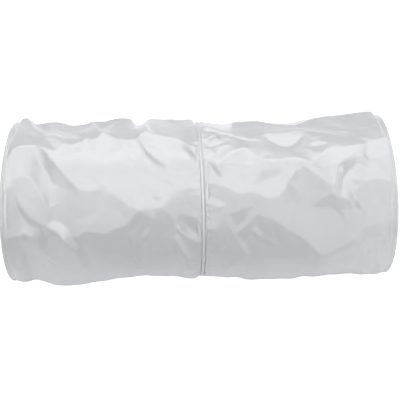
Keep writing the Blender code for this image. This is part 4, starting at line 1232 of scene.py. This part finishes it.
def cloth_material(name, light, shade, roughness, threads, facets, crumple_depth, sheen, gloss):
    """Woven cloth: weave and crumple as bump, patches of tone, and a faint greying close to the floor."""
    material, sheet, shader = start_material(name)
    uv = sheet.node("ShaderNodeUVMap", uv_map="cloth").outputs["UV"]
    place = sheet.node("ShaderNodeTexCoord").outputs["Object"]
    crumple = group_node(sheet, CRUMPLE, uv, Facets=facets)
    weave = group_node(sheet, WEAVE, uv, Threads=threads)
    # a faint grey mixed into the cloth close to the floor, more the lower it lies, broken up by noise
    near_floor = group_node(sheet, NEAR_FLOOR_GREY, place, Reach=0.045)
    tone = mixed_colour(sheet, crumple.outputs["Patch"], light, shade)
    greyed_near_floor = sheet.node("ShaderNodeMix", data_type="RGBA")
    sheet.join(ranged(sheet, near_floor.outputs["Mask"], 0.0, 0.16), greyed_near_floor.inputs["Factor"])
    sheet.join(tone, greyed_near_floor.inputs["A"])
    greyed_near_floor.inputs["B"].default_value = (0.62, 0.61, 0.60, 1)
    sheet.join(greyed_near_floor.outputs["Result"], shader.inputs["Base Color"])
    sheet.join(ranged(sheet, crumple.outputs["Patch"], roughness - 0.02, roughness + 0.03, 0.3, 0.7),
               shader.inputs["Roughness"])
    rough_normal = bumped(sheet, crumple.outputs["Height"], 1.0, crumple_depth)
    sheet.join(bumped(sheet, weave.outputs["Height"], 0.35, 0.00006, rough_normal), shader.inputs["Normal"])
    shader.inputs["Sheen Weight"].default_value = sheen
    shader.inputs["Sheen Roughness"].default_value = 0.4
    shader.inputs["IOR"].default_value = gloss
    return material


def film_material():
    """A thin milky plastic film with sharp crinkles."""
    material, sheet, shader = start_material("rustling_film")
    uv = sheet.node("ShaderNodeUVMap", uv_map="cloth").outputs["UV"]
    crumple = group_node(sheet, CRUMPLE, uv, Facets=95.0)
    fine = group_node(sheet, CRUMPLE, uv, Facets=260.0)
    patch = ranged(sheet, crumple.outputs["Patch"], 0.0, 1.0, 0.35, 0.65)
    milky = mixed_colour(sheet, patch, (0.80, 0.81, 0.83), (0.73, 0.74, 0.76))
    sheet.join(milky, shader.inputs["Base Color"])
    sheet.join(ranged(sheet, fine.outputs["Patch"], 0.16, 0.34, 0.3, 0.7), shader.inputs["Roughness"])
    large = bumped(sheet, crumple.outputs["Height"], 1.0, 0.0009)
    sheet.join(bumped(sheet, fine.outputs["Height"], 1.0, 0.0003, large), shader.inputs["Normal"])
    shader.inputs["Coat Weight"].default_value = 0.25
    shader.inputs["Coat Roughness"].default_value = 0.12
    return material


def thread_material():
    """Twisted sewing thread, with its twist as bump."""
    material, sheet, shader = start_material("sewing_thread")
    place = sheet.node("ShaderNodeTexCoord").outputs["Object"]
    twist = sheet.node("ShaderNodeTexWave", wave_type="BANDS", bands_direction="DIAGONAL")
    twist.inputs["Scale"].default_value = 900.0
    sheet.join(place, twist.inputs["Vector"])
    noise = sheet.node("ShaderNodeTexNoise")
    noise.inputs["Scale"].default_value = 220.0
    sheet.join(place, noise.inputs["Vector"])
    sheet.join(mixed_colour(sheet, noise.outputs["Fac"], (0.84, 0.85, 0.87), (0.76, 0.77, 0.80)),
               shader.inputs["Base Color"])
    sheet.join(bumped(sheet, twist.outputs["Fac"], 0.5, 0.00006), shader.inputs["Normal"])
    shader.inputs["Roughness"].default_value = 0.55
    return material


def metal_material(name, light, dark, roughness):
    """Drawn or plated steel: fine scratches, small stains and uneven polish."""
    material, sheet, shader = start_material(name)
    place = sheet.node("ShaderNodeTexCoord").outputs["Object"]
    stretched = sheet.node("ShaderNodeMapping")
    stretched.inputs["Scale"].default_value = (1600, 260, 260)
    sheet.join(place, stretched.inputs["Vector"])
    scratches = sheet.node("ShaderNodeTexNoise")
    scratches.inputs["Scale"].default_value = 1.0
    scratches.inputs["Detail"].default_value = 6.0
    sheet.join(stretched.outputs["Vector"], scratches.inputs["Vector"])
    stains = sheet.node("ShaderNodeTexNoise")
    stains.inputs["Scale"].default_value = 70.0
    stains.inputs["Detail"].default_value = 4.0
    sheet.join(place, stains.inputs["Vector"])
    sheet.join(mixed_colour(sheet, stains.outputs["Fac"], light, dark), shader.inputs["Base Color"])
    sheet.join(ranged(sheet, scratches.outputs["Fac"], roughness - 0.1, roughness + 0.15, 0.3, 0.7),
               shader.inputs["Roughness"])
    sheet.join(bumped(sheet, scratches.outputs["Fac"], 0.2, 0.00004), shader.inputs["Normal"])
    shader.inputs["Metallic"].default_value = 1.0
    return material


SATIN = cloth_material("satin_cloth", (0.72, 0.73, 0.755), (0.70, 0.71, 0.74), 0.31, 1800.0, 60.0, 0.00005,
                       0.0, 2.1)
TAPE_CLOTH = cloth_material("woven_tape", (0.87, 0.88, 0.895), (0.83, 0.84, 0.865), 0.5, 1300.0, 160.0,
                            0.0002, 0.12, 1.5)
FILM_SHEET = film_material()
THREAD = thread_material()
SPRING_STEEL = metal_material("spring_steel", (0.60, 0.61, 0.62), (0.46, 0.46, 0.47), 0.3)
PLATED_STEEL = metal_material("plated_steel", (0.74, 0.74, 0.75), (0.62, 0.62, 0.63), 0.35)


def gathers(piece):
    """The piece goes with the centre hoop's body, with a mesh of its own."""
    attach(piece, "centre")
    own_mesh(piece)


def add_hoop_set(hoop, body, tape_name, tape_node, section):
    wire = make_wire(hoop, SPRING_STEEL)
    crimp = make_ferrule(hoop, PLATED_STEEL)
    tape = ring_piece(tape_name, hoop, section, TAPE_CLOTH, uneven=0.06, seed=31 + hoop.side)
    for piece, node, slot in ((wire, f"{hoop.name}_hoop", "spring_wire"),
                              (crimp, f"{hoop.name}_ferrule", "ferrule_steel"),
                              (tape, tape_node, "hem_tape")):
        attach(piece, body)
        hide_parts(node)
    return tape


def add_bay(hoop):
    side = hoop.side
    name = hoop.name
    bay = Bay(hoop)
    cover = make_cover(bay, f"{name}_cloth", SATIN)
    film = make_film(bay, f"{name}_film_sheet", FILM_SHEET)
    tape = make_seam_tape(side, f"{name}_seam_strip", TAPE_CLOTH)
    for piece, node, slot in ((cover, f"{name}_cover", "satin_cloth"),
                              (film, f"{name}_film", "rustling_film"),
                              (tape, f"{name}_seam_tape", "seam_tape")):
        gathers(piece)
        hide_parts(node)
    rows = [
        round_stitches(f"{name}_end_stitches", bay, BAY - 6.5 * MM, THREAD),
        round_stitches(f"{name}_inner_stitches", bay, 6.5 * MM, THREAD),
        seam_stitches(f"{name}_seam_stitches_upper", bay, 1.4, THREAD),
        seam_stitches(f"{name}_seam_stitches_lower", bay, -1.4, THREAD),
    ]
    for row in rows:
        gathers(row)


def camera_matrix():
    """The camera faces the tunnel's side from above, turned, tipped and rolled as the photograph's was."""
    elevation = math.radians(CAMERA_ELEVATION)
    ahead = Vector((0, math.cos(elevation), -math.sin(elevation)))
    right = Vector((1, 0, 0))
    up = right.cross(ahead)
    middle = IMAGE_SIDE / 2
    across, down = [(middle - pixel) / FOCAL_PIXELS for pixel in AXIS_PIXEL]
    forward = ahead + right * across - up * down
    forward.normalize()
    side = forward.cross(up).normalized()
    top = side.cross(forward)
    turned = Matrix((side, top, -forward)).transposed().to_4x4()
    roll = Matrix.Rotation(math.radians(-CAMERA_ROLL), 4, "Z")
    place = Vector((CENTRE.x + CAMERA_ASIDE, 0, CENTRE.height)) - ahead * CAMERA_DISTANCE
    return Matrix.Translation(place) @ turned @ roll


def add_camera():
    data = bpy.data.cameras.new("camera")
    data.sensor_width = 36
    data.lens = FOCAL_PIXELS * data.sensor_width / IMAGE_SIDE
    camera = bpy.data.objects.new("camera", data)
    bpy.context.scene.collection.objects.link(camera)
    camera.matrix_world = camera_matrix()
    bpy.context.scene.camera = camera


def background_rays(sheet):
    """1 where a ray from the camera or through a clear surface looks at the surroundings."""
    path = sheet.node("ShaderNodeLightPath")
    seen = sheet.sum("MAXIMUM", path.outputs["Is Camera Ray"], path.outputs["Is Transmission Ray"])
    return seen


def add_world():
    world = bpy.data.worlds.new("studio")
    bpy.context.scene.world = world
    world.use_nodes = True
    sheet = Sheet(world.node_tree)
    background = world.node_tree.nodes["Background"]
    seen = background_rays(sheet)
    sheet.join(mixed_colour(sheet, seen, (0.02, 0.021, 0.022), (1, 1, 1)), background.inputs["Color"])
    background.inputs["Strength"].default_value = 1.0


def add_floor():
    """A wide pale floor that curves up into a backdrop, one smooth surface."""
    bend = np.linspace(0.1, math.pi / 2, 12)
    depth = np.concatenate([np.linspace(-4, 2.0, 13), 2.0 + 1.2 * np.sin(bend), [3.2, 3.2]])
    height = np.concatenate([np.zeros(13), 1.2 * (1 - np.cos(bend)), [2.4, 4.0]])
    x = np.linspace(-5, 5, 11)
    points = np.stack(np.broadcast_arrays(x[None, :], depth[:, None], height[:, None]), axis=-1)
    material, sheet, shader = start_material("pale_floor")
    place = sheet.node("ShaderNodeTexCoord").outputs["Object"]
    noise = sheet.node("ShaderNodeTexNoise")
    noise.inputs["Scale"].default_value = 60.0
    sheet.join(place, noise.inputs["Vector"])
    sheet.join(mixed_colour(sheet, noise.outputs["Fac"], (0.66, 0.66, 0.66), (0.63, 0.63, 0.63)),
               shader.inputs["Base Color"])
    shader.inputs["Roughness"].default_value = 0.8
    shader.inputs["Specular IOR Level"].default_value = 0.1
    sheet.join(mixed_colour(sheet, background_rays(sheet), (0.36, 0.36, 0.36), (0.9, 0.9, 0.9)),
               shader.inputs["Emission Color"])
    shader.inputs["Emission Strength"].default_value = 1.0
    floor = make_mesh("floor", points, grid_faces(len(depth), len(x))[:, ::-1], None, material)


def add_softbox(name, around, elevation, power, width, height):
    """A softbox that looks at the tunnel from LAMP_DISTANCE, placed by its angle round from the front and
    its height."""
    turned = math.radians(around)
    raised = math.radians(elevation)
    level = math.cos(raised)
    direction = Vector((math.sin(turned) * level, -math.cos(turned) * level, math.sin(raised)))
    data = bpy.data.lights.new(name, "AREA")
    data.shape = "RECTANGLE"
    data.size = width
    data.size_y = height
    data.energy = power
    lamp = bpy.data.objects.new(name, data)
    bpy.context.scene.collection.objects.link(lamp)
    lamp.location = Vector((0, 0, MID_RADIUS)) + direction * LAMP_DISTANCE
    lamp.rotation_euler = (-direction).to_track_quat("-Z", "Y").to_euler()
    lamp.visible_camera = False


def add_card(name, corners, height, shade, glow):
    """A card on the floor in front of the tunnel, out of the camera's sight, for the cloth's lower half to
    mirror."""
    material, sheet, shader = start_material(name)
    shader.inputs["Base Color"].default_value = (shade, shade, shade + 0.01, 1)
    shader.inputs["Roughness"].default_value = 0.9
    shader.inputs["Emission Color"].default_value = (1, 1, 1, 1)
    shader.inputs["Emission Strength"].default_value = glow
    points = [(x, y, height) for x, y in corners]
    card = make_mesh(name, points, grid_faces(2, 2), None, material)
    card.visible_camera = False
    card.visible_shadow = False


def settle_view():
    bpy.context.scene.view_settings.view_transform = "Standard"


add_camera()
add_world()
add_floor()
for card in CARDS:
    add_card(*card)
for lamp in LAMPS:
    add_softbox(*lamp)
settle_view()
left_hem = add_hoop_set(LEFT, "left_end", "left_hem_tape", "left_hem", hem_section(1))
add_hoop_set(CENTRE, "centre", "centre_casing_tape", "centre_casing", casing_section())
right_hem = add_hoop_set(RIGHT, "right_end", "right_hem_tape", "right_hem", hem_section(-1))
add_bay(LEFT)
add_bay(RIGHT)
